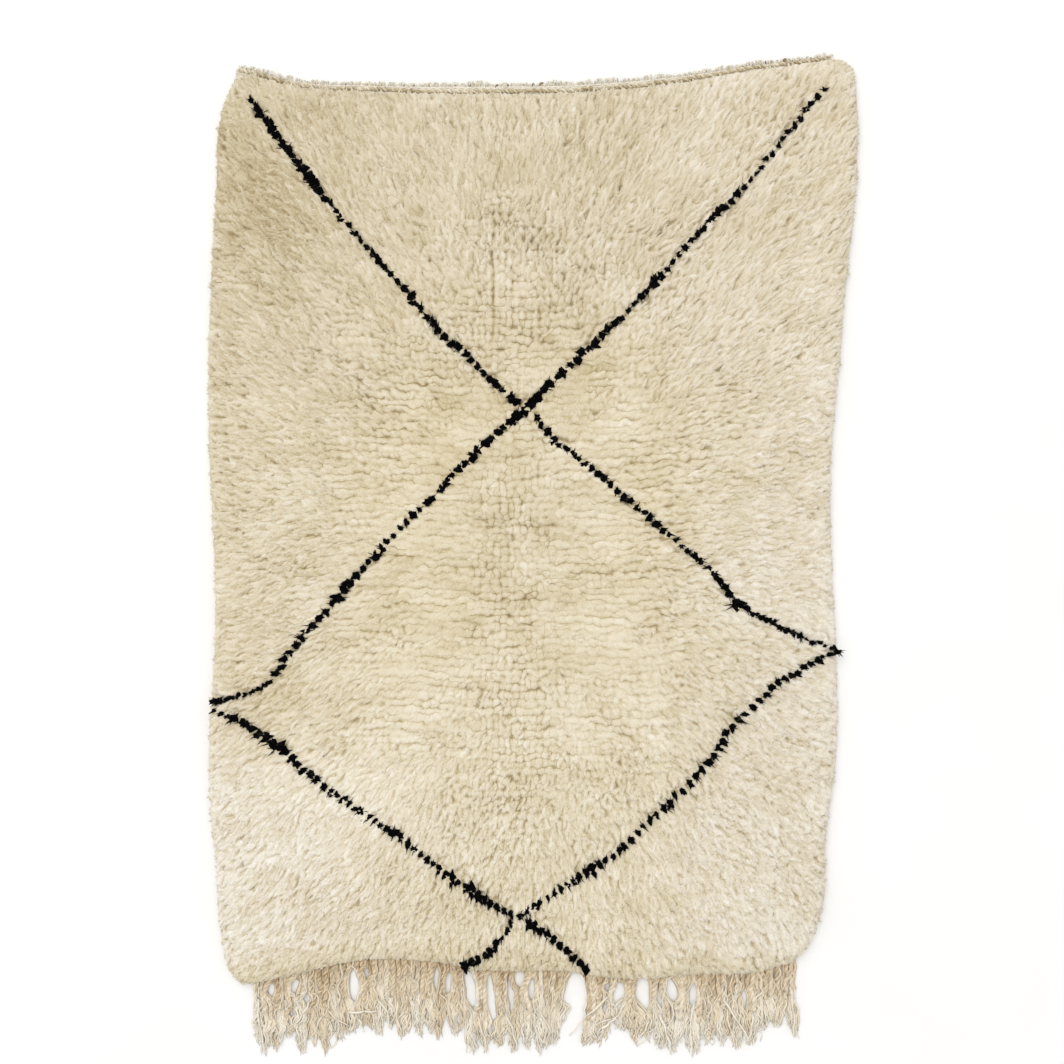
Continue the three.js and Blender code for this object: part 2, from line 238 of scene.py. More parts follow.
def fleeceMaterial():
    # Undyed hand-spun sheep's wool cut as pile: matt and warm white, with soft fibres that run the way the
    # pile lies.
    # Painted shade makes it deeper yellow and darker down between the locks and along the creases.
    fibreWidth, tipWidth = 0.0020, 0.0024  # drawn coarser than the real 0.03 mm so that they show
    slimness = 0.11  # a fibre's width to its length
    fibreContrast, creaseShade = 0.19, 0.29
    creaseWidths = {"row_parting": (0.0002, 0.0013), "column_parting": (0.0002, 0.0012)}
    material, tree = startMaterial("undyed_cream_wool_fleece")
    tone, depth = (
        addNode(tree, "ShaderNodeAttribute", {"attribute_name": name}, out="Fac")
        for name in ("wool_tone", "wool_depth")
    )
    runs = addNode(tree, "ShaderNodeUVMap", {"uv_map": "fibres"})
    where = addNode(tree, "ShaderNodeTexCoord", out="Object")
    stretch = (1 / fibreWidth, slimness / fibreWidth, 1)
    stretched = addNode(tree, "ShaderNodeVectorMath", {"operation": "MULTIPLY", 1: stretch}, {0: runs})
    fibre = addNode(
        tree, "ShaderNodeTexNoise", {"Scale": 1.0, "Detail": 3.0, "Roughness": 0.6}, {"Vector": stretched}
    )
    tips = addNode(
        tree,
        "ShaderNodeTexNoise",
        {"Scale": 1 / tipWidth, "Detail": 2.0, "Roughness": 0.6},
        {"Vector": where},
    )
    mixed = addNode(tree, "ShaderNodeMath", {"operation": "ADD"}, {0: fibre, 1: tips})
    even = addNode(
        tree, "ShaderNodeMapRange", {1: 0.7, 2: 1.3, 3: -fibreContrast, 4: fibreContrast}, {0: mixed}
    )
    contrast = addNode(tree, "ShaderNodeAttribute", {"attribute_name": "wool_contrast"}, out="Fac")
    strands = addNode(tree, "ShaderNodeMath", {"operation": "MULTIPLY"}, {0: even, 1: contrast})
    # thin creases where the locks of one row or column meet the next, drawn as darker lines of painted shade
    # and sunk in the bump: both values tell how far away one is
    creases = []
    for name, (least, most) in creaseWidths.items():
        away = addNode(tree, "ShaderNodeAttribute", {"attribute_name": name}, out="Fac")
        distance = addNode(tree, "ShaderNodeMath", {"operation": "ABSOLUTE"}, {0: away})
        settings = {1: least, 2: most, 3: 1.0, 4: 0.0}
        creases.append(addNode(tree, "ShaderNodeMapRange", settings, {0: distance}))
    crease = addNode(tree, "ShaderNodeMath", {"operation": "MAXIMUM"}, {0: creases[0], 1: creases[1]})
    # painted shade: the wool is darker along each crease
    darker = addNode(tree, "ShaderNodeMath", {"operation": "MULTIPLY", 1: creaseShade}, {0: crease})
    # painted shade in the hollows and painted light on the tops: the further a point lies below its
    # neighbours, the darker the wool
    sunk = addNode(tree, "ShaderNodeMapRange", {1: -0.0006, 2: 0.0024, 3: 0.06, 4: -0.26}, {0: depth})
    lit = addNode(tree, "ShaderNodeMath", {"operation": "ADD"}, {0: tone, 1: sunk})
    woven = addNode(tree, "ShaderNodeMath", {"operation": "ADD"}, {0: lit, 1: strands})
    level = addNode(tree, "ShaderNodeMath", {"operation": "SUBTRACT"}, {0: woven, 1: darker})
    # the lower stops give the painted shade in hollows and creases its deep yellow
    wools = [(0.0, "#a6916a"), (0.28, "#c6b797"), (0.5, "#d8cbb3"), (1.0, "#f2ece2")]
    wool = addNode(tree, "ShaderNodeValToRGB", {"stops": wools}, {"Fac": level})
    # the wool of one skein is a little yellower or whiter than that of the next
    whiter = addNode(tree, "ShaderNodeAttribute", {"attribute_name": "wool_whiteness"}, out="Fac")
    tintStops = [(0.0, "#fcfbf1"), (1.0, "#fefffe")]
    tints = addNode(tree, "ShaderNodeValToRGB", {"stops": tintStops}, {"Fac": whiter})
    colour = addNode(tree, "ShaderNodeVectorMath", {"operation": "MULTIPLY"}, {0: wool, 1: tints})
    raised = addNode(tree, "ShaderNodeMath", {"operation": "SUBTRACT"}, {0: mixed, 1: crease})
    bump = addNode(tree, "ShaderNodeBump", {"Strength": 0.5, "Distance": 0.0007}, {"Height": raised})
    endMaterial(
        tree,
        {
            "Roughness": 0.94, "IOR": 1.54, "Specular IOR Level": 0.15,
            "Sheen Weight": 0.3, "Sheen Roughness": 0.6,
        },
        {"Base Color": colour, "Normal": bump},
    )
    return material


def groundMaterial():
    # Plain-woven wool ground: weft ridges 4 mm apart over warps 5 mm apart give a fine even ribbing.
    pitches = {"Y": 0.004, "X": 0.005}
    waveTurn = 2 * math.pi / 20  # Blender's wave texture repeats once in this length at scale 1
    material, tree = startMaterial("plain_woven_wool_ground")
    where = addNode(tree, "ShaderNodeTexCoord", out="Object")
    weft, warp = (
        addNode(
            tree,
            "ShaderNodeTexWave",
            {"bands_direction": way, "Scale": waveTurn / pitch, "Distortion": 0.6, "Detail": 1.0},
            {"Vector": where},
            "Fac",
        )
        for way, pitch in pitches.items()
    )
    weave = addNode(tree, "ShaderNodeMath", {"operation": "MULTIPLY"}, {0: weft, 1: warp})
    groundStops = [(0.0, "#a8946c"), (0.8, "#d8c8a4")]
    colour = addNode(tree, "ShaderNodeValToRGB", {"stops": groundStops}, {"Fac": weave})
    bump = addNode(tree, "ShaderNodeBump", {"Strength": 0.8, "Distance": 0.001}, {"Height": weave})
    endMaterial(
        tree,
        {"Roughness": 0.93, "IOR": 1.54, "Specular IOR Level": 0.2},
        {"Base Color": colour, "Normal": bump},
    )
    return material


def makeMaterials():
    # Strands are told as the number in one lock or yarn, across and along: 1 to 3 mm each, drawn coarser than
    # the real fibres of 0.03 mm so that they show.
    # each rootShade is painted shade: where it ends up the lock and how dark it is at the root
    made = {}
    # Undyed sheep's wool, hand spun and cut as pile: matt, soft and warm white, fibres along each lock.
    made["creamWool"] = woolMaterial(
        "undyed_cream_wool_pile",
        [(0.0, "#b9a984"), (0.35, "#cbbd99"), (0.7, "#dcd0b2"), (1.0, "#ebe3cd")],
        {"until": 0.7, "least": 0.82},
        {"across": 10.0, "along": 2.2, "depth": 0.08, "bump": 0.3},
        {
            "Roughness": 0.92, "IOR": 1.54, "Specular IOR Level": 0.2,
            "Sheen Weight": 0.4, "Sheen Roughness": 0.5,
        },
    )
    # Wool dyed or grown black and cut as pile: takes in nearly all light, a faint grey on the fibres.
    made["blackWool"] = woolMaterial(
        "black_wool_pile",
        [(0.0, "#020203"), (0.5, "#060507"), (0.75, "#100d0f"), (1.0, "#4a423c")],
        {"until": 0.6, "least": 0.6},
        {"across": 6.0, "along": 1.6, "depth": 0.4, "bump": 0.35},
        {"Roughness": 0.95, "IOR": 1.54, "Specular IOR Level": 0.06},
    )
    # Plied warp yarn, undyed: firmer and browner than the pile, paler where it has frayed.
    made["warpYarn"] = woolMaterial(
        "plied_beige_warp_yarn",
        [(0.0, "#ab8e68"), (0.3, "#dac29c"), (0.65, "#f3e2c4"), (1.0, "#fff7e6")],
        {"until": 0.5, "least": 0.82},
        {"across": 5.0, "along": 9.0, "depth": 0.16, "bump": 0.4},
        {
            "Roughness": 0.88, "IOR": 1.54, "Specular IOR Level": 0.25,
            "Sheen Weight": 0.15, "Sheen Roughness": 0.5,
        },
    )
    # Undyed wool woven flat in the heading: smooth and pale, with a few dark specks of coarse hair.
    made["headingYarn"] = woolMaterial(
        "pale_plain_heading_wool",
        [(0.0, "#857355"), (0.3, "#c2b08c"), (0.65, "#e6dcc4"), (1.0, "#faf4e6")],
        {"until": 0.5, "least": 0.88},
        {"across": 5.0, "along": 6.0, "depth": 0.12, "bump": 0.4},
        {
            "Roughness": 0.92, "IOR": 1.54, "Specular IOR Level": 0.2,
            "Sheen Weight": 0.25, "Sheen Roughness": 0.5,
        },
    )
    made["fleece"] = fleeceMaterial()
    made["ground"] = groundMaterial()
    print("materials made:", len(made))
    return made


def meshFromArrays(name, points, loops, starts, uv, material, normals=None):
    mesh = bpy.data.meshes.new(name)
    mesh.vertices.add(len(points))
    mesh.vertices.foreach_set("co", points.astype(np.float32).ravel())
    mesh.loops.add(len(loops))
    mesh.loops.foreach_set("vertex_index", loops.astype(np.int32))
    mesh.polygons.add(len(starts))
    mesh.polygons.foreach_set("loop_start", starts.astype(np.int32))
    if uv is not None:
        chart = mesh.uv_layers.new(name="OFBake")
        chart.data.foreach_set("uv", uv.astype(np.float32).ravel())
    mesh.update(calc_edges=True)
    mesh.validate()
    mesh.shade_smooth()
    if normals is not None:
        mesh.normals_split_custom_set_from_vertices(normals)
    mesh.materials.append(material)
    piece = bpy.data.objects.new(name, mesh)
    bpy.context.scene.collection.objects.link(piece)
    return piece


def gridFaces(high, wide):
    # the corners of the faces of a grid: rows of faces high, and points across
    j, i = np.meshgrid(np.arange(high), np.arange(wide - 1), indexing="ij")
    n = (j * wide + i).ravel()
    return np.stack([n, n + 1, n + wide + 1, n + wide], axis=1)


def sweep(name, paths, widths, sideways, sides, tones, rng, material, flatness=1.0, uneven=None, bounce=None):
    # Tapered tubes that close in a point. paths is (tube, step, xyz) and widths the radius at each step but
    # the last. sideways is level and across each tube. bounce is the number of steps that climb a chart cell.
    count, steps = paths.shape[0], paths.shape[1]
    ringSteps = steps - 1
    along = np.gradient(paths, axis=1)
    along /= np.linalg.norm(along, axis=2, keepdims=True) + 1e-12
    sideways = np.broadcast_to(sideways, paths.shape)
    upwards = np.cross(along, sideways)
    upwards /= np.linalg.norm(upwards, axis=2, keepdims=True) + 1e-12
    turn = rng.uniform(0, 2 * math.pi, (count, 1))
    angles = (turn + np.arange(sides) * 2 * math.pi / sides)[:, None, :, None]
    reach = np.broadcast_to(widths, (count, ringSteps))[..., None, None]
    if uneven is not None:
        reach = reach * uneven[..., None]
    rings = (
        paths[:, :ringSteps, None, :]
        + reach * np.cos(angles) * sideways[:, :ringSteps, None, :]
        + flatness * reach * np.sin(angles) * upwards[:, :ringSteps, None, :]
    )
    perTube = ringSteps * sides + 1
    points = np.concatenate([rings.reshape(count, -1, 3), paths[:, -1:, :]], axis=1).reshape(-1, 3)

    # one tube's faces: quads between its rings, then triangles to its tip
    k, j = (n.ravel() for n in np.meshgrid(np.arange(ringSteps - 1), np.arange(sides), indexing="ij"))
    nextJ = (j + 1) % sides
    quads = np.stack([k * sides + j, k * sides + nextJ, (k + 1) * sides + nextJ, (k + 1) * sides + j], axis=1)
    last, ring = (ringSteps - 1) * sides, np.arange(sides)
    tips = np.stack([last + ring, last + (ring + 1) % sides, np.full(sides, perTube - 1)], axis=1)
    loops = np.arange(count)[:, None] * perTube + np.concatenate([quads.ravel(), tips.ravel()])
    lengths = np.concatenate([np.full(len(quads), 4), np.full(sides, 3)])
    starts = np.concatenate([[0], np.cumsum(np.tile(lengths, count))[:-1]])

    # each face's place in a cell of the wool chart
    climb = 1 - np.abs((np.arange(ringSteps + 1) / (bounce or ringSteps)) % 2 - 1)
    quadU, tipU = np.stack([j, j + 1, j + 1, j], axis=1), np.stack([ring, ring + 1, ring + 0.5], axis=1)
    quadV = np.stack([k, k, k + 1, k + 1], axis=1)
    tipV = np.tile([ringSteps - 1, ringSteps - 1, ringSteps], sides)
    u = np.concatenate([quadU.ravel(), tipU.ravel()]) / sides
    v = climb[np.concatenate([quadV.ravel(), tipV])]
    inset, columns, rows = woolChart["margin"], woolChart["columns"], woolChart["rows"]
    segment = np.concatenate([np.repeat(k, 4), np.full(3 * sides, ringSteps - 1)])
    tones = np.broadcast_to(tones if np.ndim(tones) == 2 else np.reshape(tones, (-1, 1)), (count, ringSteps))
    column = np.clip(np.floor(tones * columns), 0, columns - 1)[:, segment]
    row = rng.integers(0, rows, (count, 1))
    uv = np.stack(
        [(column + inset + (1 - 2 * inset) * u) / columns, (row + inset + (1 - 2 * inset) * v) / rows],
        axis=-1,
    )
    return meshFromArrays(name, points, loops.ravel(), starts, uv.reshape(-1, 2), material)


# Rows of knots tied on the ground. Each is a tuft with a root and a tip, which the fleece and the black
# knots follow.
pileSettings = {
    "seed": 11,
    "knotsAcross": 98,
    "rows": 116,
    "rimInset": 0.014,  # of the outermost roots, inside the outline
    "placeJitter": 0.0011,
    "rootHeight": 0.0055,
    "tuftLength": 0.0185,
    "rimLean": 0.0125,  # the pile leans out from the middle by this much at the sides
    "mostLean": 0.0165,
    "leastRise": 0.55,  # of a tuft's length, however far it leans
    "rimCurl": 0.0045,
    "curlWithin": 0.03,  # of the edge
    "nap": -0.0012,
    "tipJitter": 0.0012,
    "partings": {"count": 80, "knots": (4, 13), "push": (0.0016, 0.0034), "stray": 0.16},
    "splits": {"count": 30, "knots": (2, 6), "push": (0.0014, 0.0028)},
    "tone": 0.53,
    # where the wool is darker or paler, by how much and over which stretch it sets in
    "toneZones": (
        (-0.07, ("head", 0.35, 0.95)),
        (-0.06, ("left", 0.35, 0.9), ("head", -0.7, 0)),
        (-0.11, ("head", 0.3, 0.9), ("left", 0.2, 0.8)),
        (0.06, ("right", 0.4, 0.9)),
        (-0.09, ("head", 0.2, 0.45), ("short of head", 0.75, 0.95), ("short of right", 0.1, 0.4)),
        (0.13, ("foot", 0.3, 0.65)),
        (0.10, ("foot", 0.35, 0.8), ("left", 0.3, 0.8)),
        (-0.08, ("foot", 0.65, 0.85)),
        (-0.12, ("foot", 0.935, 0.985)),
    ),
}


def knotGrid():
    s = pileSettings
    rng = np.random.default_rng(s["seed"])
    insetA, insetB = s["rimInset"] / halfWidth, s["rimInset"] / halfLength
    b, a = np.meshgrid(
        np.linspace(1 - insetB, -1 + insetB, s["rows"]),
        np.linspace(-1 + insetA, 1 - insetA, s["knotsAcross"]),
        indexing="ij",
    )
    x, y = place(a, b)
    x = x + s["placeJitter"] * rng.standard_normal(a.shape)
    y = y + s["placeJitter"] * rng.standard_normal(a.shape) + 0.0012 * softNoise(x, y, 0.07, 3)
    return a, b, x, y


def partedRows(rng):
    # pushes each knot's tip away from the gaps that open between rows, and from short splits between columns
    rows, columns = pileSettings["rows"], pileSettings["knotsAcross"]
    parting, split = pileSettings["partings"], pileSettings["splits"]
    push = np.zeros((rows, columns, 2))
    depth = np.zeros((rows, columns))
    for _ in range(parting["count"]):
        row = int(np.clip(rng.normal(0.54, 0.24), 0.04, 0.95) * rows)
        start = int(np.clip(rng.normal(0.5, 0.27), 0.02, 0.94) * columns)
        length = int(rng.uniform(*parting["knots"]))
        strength = rng.uniform(*parting["push"])
        for n in range(length):
            column = start + n
            if column >= columns or not 1 <= row < rows - 2:
                break
            taper = math.sin(math.pi * (n + 0.7) / (length + 0.4)) ** 0.5
            push[row, column, 1] += strength * taper
            push[row - 1, column, 1] += 0.4 * strength * taper
            push[row + 1, column, 1] -= strength * taper
            push[row + 2, column, 1] -= 0.4 * strength * taper
            depth[row, column] += taper
            depth[row + 1, column] += taper
            if rng.random() < parting["stray"]:
                row += int(rng.choice((-1, 1)))
    for _ in range(split["count"]):
        row = int(np.clip(rng.normal(0.48, 0.22), 0.05, 0.9) * rows)
        column = int(np.clip(rng.normal(0.5, 0.06), 0.3, 0.7) * columns)
        length = int(rng.uniform(*split["knots"]))
        strength = rng.uniform(*split["push"])
        push[row : row + length, column, 0] -= strength
        push[row : row + length, column + 1, 0] += strength
    return push, depth


def tuftShapes():
    # where each tuft's root and tip are
    s = pileSettings
    rng = np.random.default_rng(s["seed"] + 1)
    a, b, x, y = knotGrid()
    push, depth = partedRows(rng)
    spread = np.hypot(a, b)
    lean = s["rimLean"] * smoothStep(spread, 0.1, 0.95) / np.maximum(spread, 1e-6)
    fromSide, fromEnd = (1 - np.abs(a)) * halfWidth, (1 - np.abs(b)) * halfLength
    curlA = s["rimCurl"] * np.clip(1 - fromSide / s["curlWithin"], 0, 1) ** 2 * np.sign(a)
    curlB = s["rimCurl"] * np.clip(1 - fromEnd / s["curlWithin"], 0, 1) ** 2 * np.sign(b)
    tipX = lean * a + curlA + push[..., 0]
    tipY = lean * b + curlB + push[..., 1] + s["nap"] * (1 - smoothStep(spread, 0.1, 0.7))
    tipX = roughen(tipX, x, y, (0.0024, 0.085, 21), (0.0018, 0.034, 22))
    tipY = roughen(tipY, x, y, (0.0024, 0.085, 23), (0.0020, 0.034, 24))
    tipX = tipX + s["tipJitter"] * rng.standard_normal(a.shape)
    tipY = tipY + s["tipJitter"] * rng.standard_normal(a.shape)
    reach = np.hypot(tipX, tipY)
    held = np.minimum(1, s["mostLean"] / np.maximum(reach, 1e-9))
    tipX, tipY, reach = tipX * held, tipY * held, reach * held
    uneven = roughen(1, x, y, (0.07, 0.075, 31), (0.06, 0.029, 32)) + 0.045 * rng.standard_normal(a.shape)
    length = s["tuftLength"] * uneven
    rise = np.sqrt(np.maximum(length**2 - reach**2, (s["leastRise"] * length) ** 2))
    tone = roughen(s["tone"], x, y, (0.07, 0.17, 41), (0.09, 0.040, 42)) + 0.02 * rng.standard_normal(a.shape)
    # painted shade: knots beside a parting between rows get a darker tone
    tone = zoned(tone, a, b, s["toneZones"]) - 0.05 * np.clip(depth, 0, 1)
    high = roughen(0, x, y, (0.0006, 0.075, 31), (0.0005, 0.029, 32))
    root = np.stack([x, y, np.full_like(x, s["rootHeight"])], axis=-1)
    tip = root + np.stack([tipX, tipY, rise], axis=-1)
    return {"root": root, "tip": tip, "tone": np.clip(tone, 0.02, 0.98), "reach": reach, "high": high}


def lyingShare(reach):
    # 0 where a tuft stands, 1 where it lies over
    return smoothStep(reach, 0.003, 0.0105)


def bentPaths(root, tip, at, stand=0.62, follow=0.22):
    # each path rises first and bends over towards its tip
    span = tip - root
    control = root + span * np.array([follow, follow, stand])
    t = np.atleast_2d(at)[..., None]
    return root[:, None] * (1 - t) ** 2 + control[:, None] * 2 * t * (1 - t) + tip[:, None] * t**2


def acrossLean(root, tip):
    # level and at right angles to the lean, along the row where a tuft stands straight
    flat = (tip - root)[:, :2]
    reach = np.linalg.norm(flat, axis=1, keepdims=True)
    crosswise = np.stack([-flat[:, 1], flat[:, 0]], axis=1) / np.maximum(reach, 1e-9)
    crosswise *= np.where(crosswise[:, :1] < 0, -1, 1)
    share = smoothStep(reach, 0.001, 0.004)
    mixed = crosswise * share + np.array([[1.0, 0.0]]) * (1 - share)
    mixed /= np.linalg.norm(mixed, axis=1, keepdims=True)
    return withHeight(mixed, 0.0)[:, None, :]


# The two dark lines that cross near the head, spread into a large diamond and cross again near the foot.
# Points are millimetres across from the centre line and along from the head line. thick is the size of the
# knots at even steps down the line.
diamondLines = [
    {
        "thick": (
            0.6, 1.0, 1.25, 1.25, 1.0, 1.3, 1.1, 0.9, 1.0, 0.65, 1.05, 0.9, 1.2, 1.0, 1.05, 1.0, 1.05, 0.95,
            1.05, 1.05, 0.95,
        ),
        "points": [(-421, 33), (-374, 97), (-305, 187), (-231, 272), (-120, 400), (-4, 504)],
    },
    {
        "thick": (
            0.6, 0.6, 0.9, 0.65, 0.8, 0.45, 0.8, 1.1, 0.9, 0.95, 0.8, 1.0, 0.85, 0.7, 1.05, 1.0, 1.2, 1.05,
            1.35, 1.4,
        ),
        "points": [(458, 18), (392, 97), (352, 150), (291, 212), (242, 265), (144, 372), (55, 454), (2, 506)],
    },
    {
        "thick": (
            1.5, 1.35, 1.1, 1.45, 1.2, 1.0, 1.0, 0.85, 1.05, 0.8, 0.95, 0.85, 1.1, 1.2, 1.0, 1.1, 0.9, 0.95,
            0.85, 0.7, 0.6, 0.6, 0.75, 0.8,
        ),
        "points": [(2, 506), (-76, 574), (-234, 736), (-348, 865), (-391, 926), (-436, 944), (-484, 957)],
    },
    {
        "thick": (
            0.85, 1.1, 0.85, 1.05, 0.9, 0.9, 0.95, 1.2, 0.65, 0.9, 0.8, 0.9, 1.3, 0.65, 0.9, 0.85, 0.65, 0.5,
            0.55,
        ),
        "points": [
            (14, 517), (45, 557), (103, 599), (214, 696), (280, 750), (322, 803), (392, 842), (478, 876),
        ],
    },
    {
        "thick": (
            0.6, 0.55, 0.85, 1.35, 1.3, 1.1, 0.95, 0.9, 0.85, 1.25, 0.65, 1.15, 0.9, 0.9, 1.0, 0.85, 1.0,
            0.85, 0.75,
        ),
        "points": [
            (-478, 965), (-429, 983), (-371, 1025), (-302, 1085), (-216, 1140), (-109, 1224), (-20, 1278),
        ],
    },
    {
        "thick": (
            0.55, 0.65, 1.1, 0.65, 0.8, 0.9, 0.65, 1.0, 0.75, 1.1, 0.8, 0.8, 1.0, 0.7, 0.8, 0.8, 1.2, 0.8,
            0.85, 0.75, 0.8, 0.9,
        ),
        "points": [
            (478, 874), (424, 900), (372, 933), (306, 1003), (276, 1048), (233, 1094), (133, 1188),
            (54, 1237), (-8, 1279),
        ],
    },
    {"thick": (0.6, 0.7, 0.95, 1.1, 1.15), "points": [(-19, 1284), (-30, 1305), (-55, 1335), (-99, 1358)]},
    {"thick": (1.1, 1.0, 1.05, 0.8, 1.0, 1.05), "points": [(0, 1284), (10, 1291), (41, 1310), (96, 1364)]},
]
knotSettings = {
    "seed": 110,
    "stepAcross": 0.0098,
    "stepAlong": 0.0106,
    "jitter": 0.0011,
    "core": 0.0067,
    "coreFoot": 0.008,  # the height at which a core starts in the pile
    "above": 0.0002,  # how far its tip stands above the fleece
    "locks": 5,
    "lockWidth": 0.0038,
    "lockReach": 0.0076,
    "spikes": 4,
    "spikeWidth": 0.0010,
    "spikeReach": 0.0100,
}


def darkKnots(shapes):
    # one knot for each row or column that a line passes, its tip drawn onto the line
    s = knotSettings
    rng = np.random.default_rng(s["seed"])
    dark = np.zeros(shapes["tone"].shape, bool)
    thick = np.ones(dark.shape)
    for line in diamondLines:
        corners = np.array(line["points"]) / 1000
        moves = np.abs(np.diff(corners, axis=0)) / (s["stepAcross"], s["stepAlong"])
        counted = np.concatenate([[0], np.cumsum(moves.max(1))])
        marks = np.arange(0.5, counted[-1], 1)
        spots = np.stack([np.interp(marks, counted, corners[:, n]) for n in (0, 1)], axis=1)
        spots = spots + rng.normal(0, s["jitter"], spots.shape)
        sizes = np.interp(marks, np.linspace(0, counted[-1], len(line["thick"])), line["thick"])
        for spot, size in zip(spots, sizes):
            x, y = onRug(spot[0], -spot[1])
            away = (shapes["tip"][..., 0] - x) ** 2 + (shapes["tip"][..., 1] - y) ** 2 + dark
            at = np.unravel_index(np.argmin(away), dark.shape)
            dark[at] = True
            thick[at] = size * rng.normal(1, 0.12)
            shapes["tip"][at][:2] = (x, y)
    return dark, thick


# The cream pile is one thick fleece: the locks of every knot run together into soft ridges and lying tips.
fleeceSettings = {
    "grid": 0.00205,
    "bands": ("foot", "lower", "upper", "head"),
    "roll": 0.022,  # how far in from the edge the pile rounds down
    "tuckUnder": 0.006,
    "widest": 0.0085,  # the height at which the rounded edge reaches furthest
    "lowest": 0.0006,
    "top": 0.0232,
    "floor": -0.0085,  # the deepest that a gap goes, from the top
    "edgeFloor": 0.0035,  # and how deep a gap goes at the edge
    "dome": 0.0025,
    "standing": (0.0120, 0.0064),
    "cell": (0.0060, 0.0062),
    "lyingWidth": 0.0033,
    "lyingTip": 0.0034,
    "lyingRise": 0.11,
    "merge": 0.00034,
    "lockSpread": 0.0025,
    "lockAside": 0.0010,  # how unevenly the locks of a knot lie, to the side and ahead
    "lockAhead": 0.0034,
    "lockTurn": 0.22,
    "lockHigh": 0.00045,
    "lockTone": 0.07,
    "darkSunk": 0.0026,  # how much lower the fleece is under a black knot
    "streaks": {"high": 0.00030, "cell": 0.0042},
    "grain": {"high": 0.00028, "cell": 0.0052},
    "whiteness": 0.10,
    "whiterZones": (
        (1.0, ("head", 0.2, 0.75)),
        (1.1, ("right", 0.3, 0.9)),
        (0.45, ("foot", 0.45, 0.8)),
        (0.55, ("left", 0.3, 0.8)),
    ),
    "yellowFoot": ((-0.6, ("foot", 0.93, 0.98)),),
    # the fibres part more, and the painted shade in the hollows is deeper, towards the foot than at the head
    "contrastZones": ((-0.24, ("head", 0.1, 0.7)), (0.42, ("foot", 0.3, 0.8))),
}


def edgedSteps(span):
    # places from -1 to 1, closer together where the edge rounds down, and how far round each place is:
    # a quarter turn on the flat top, none where the edge reaches furthest and less than that underneath
    s = fleeceSettings
    closer, underSteps = 1.45, 5
    over = np.linspace(0, math.pi / 2, int(s["roll"] * closer / s["grid"]))
    under = np.linspace(-math.pi / 2, 0, underSteps + 1)[:-1]
    inset = np.concatenate([s["tuckUnder"] * (1 - np.cos(under)), s["roll"] * (1 - np.cos(over))])
    turn = np.concatenate([under, over])
    flatEnd = 1 - 2 * s["roll"] / span
    flat = np.linspace(-flatEnd, flatEnd, int((span - 2 * s["roll"]) / s["grid"]))
    edge = -1 + 2 * inset / span
    places = np.concatenate([edge, flat[1:-1], -edge[::-1]])
    turns = np.concatenate([turn, np.full(len(flat) - 2, math.pi / 2), turn[::-1]])
    return places, turns


def cellShare(x, y):
    # 1 down the middle, where each knot shows as a cell, and 0 where the locks of a row run together
    middle = np.exp(-(((x - rugLayout["centreLine"] + 0.02) / 0.055) ** 2))
    return np.clip(middle + 0.35 * softNoise(x, y, 0.06, 51), 0, 1)


def lockTable(shapes, dark):
    # two locks to a knot, side by side where the pile lies over and close together where it stands
    s = fleeceSettings
    rng = np.random.default_rng(pileSettings["seed"] + 5)
    span = (shapes["tip"] - shapes["root"])[..., :2]
    reach = shapes["reach"]
    lying = lyingShare(reach)
    heading = span / np.maximum(reach, 1e-9)[..., None]
    own = np.maximum(cellShare(shapes["root"][..., 0], shapes["root"][..., 1]), lying)

    def uneven(size):
        # a random amount for each knot, shared with its neighbours where the row runs together
        each = rng.normal(0, size, reach.shape)
        padded = np.pad(each, ((0, 0), (2, 2)), mode="wrap")
        shared = sum(padded[:, n : n + reach.shape[1]] for n in range(5)) / math.sqrt(5)
        return own * each + (1 - own) * shared

    locks = []
    for side in (-1, 1):
        apart = side * s["lockSpread"] * (0.4 + 0.6 * lying) + rng.normal(0, s["lockAside"], reach.shape)
        ahead = rng.normal(0, s["lockAhead"], reach.shape) * lying + rng.normal(0, 0.0012, reach.shape)
        turned = rng.normal(0, s["lockTurn"], reach.shape)
        locks.append({
            "x": shapes["tip"][..., 0] - heading[..., 1] * apart + heading[..., 0] * ahead,
            "y": shapes["tip"][..., 1] + heading[..., 0] * apart + heading[..., 1] * ahead,
            "dirX": heading[..., 0] * np.cos(turned) - heading[..., 1] * np.sin(turned),
            "dirY": heading[..., 0] * np.sin(turned) + heading[..., 1] * np.cos(turned),
            "lying": lying,
            "high": shapes["high"] + uneven(s["lockHigh"]) - s["darkSunk"] * dark,
            "tone": shapes["tone"] + uneven(s["lockTone"]),
            "wide": s["lyingWidth"] * rng.normal(1, 0.14, reach.shape),
        })
    return locks


def crossingDistance(values, x, y):
    # signed distance, in metres, to where the values pass zero
    alongA = np.hypot(np.gradient(x, axis=1), np.gradient(y, axis=1))
    alongB = np.hypot(np.gradient(x, axis=0), np.gradient(y, axis=0))
    slopeA = np.gradient(values, axis=1) / np.maximum(alongA, 1e-5)
    slopeB = np.gradient(values, axis=0) / np.maximum(alongB, 1e-5)
    return np.clip(values / np.maximum(np.hypot(slopeA, slopeB), 0.05), -0.006, 0.006)


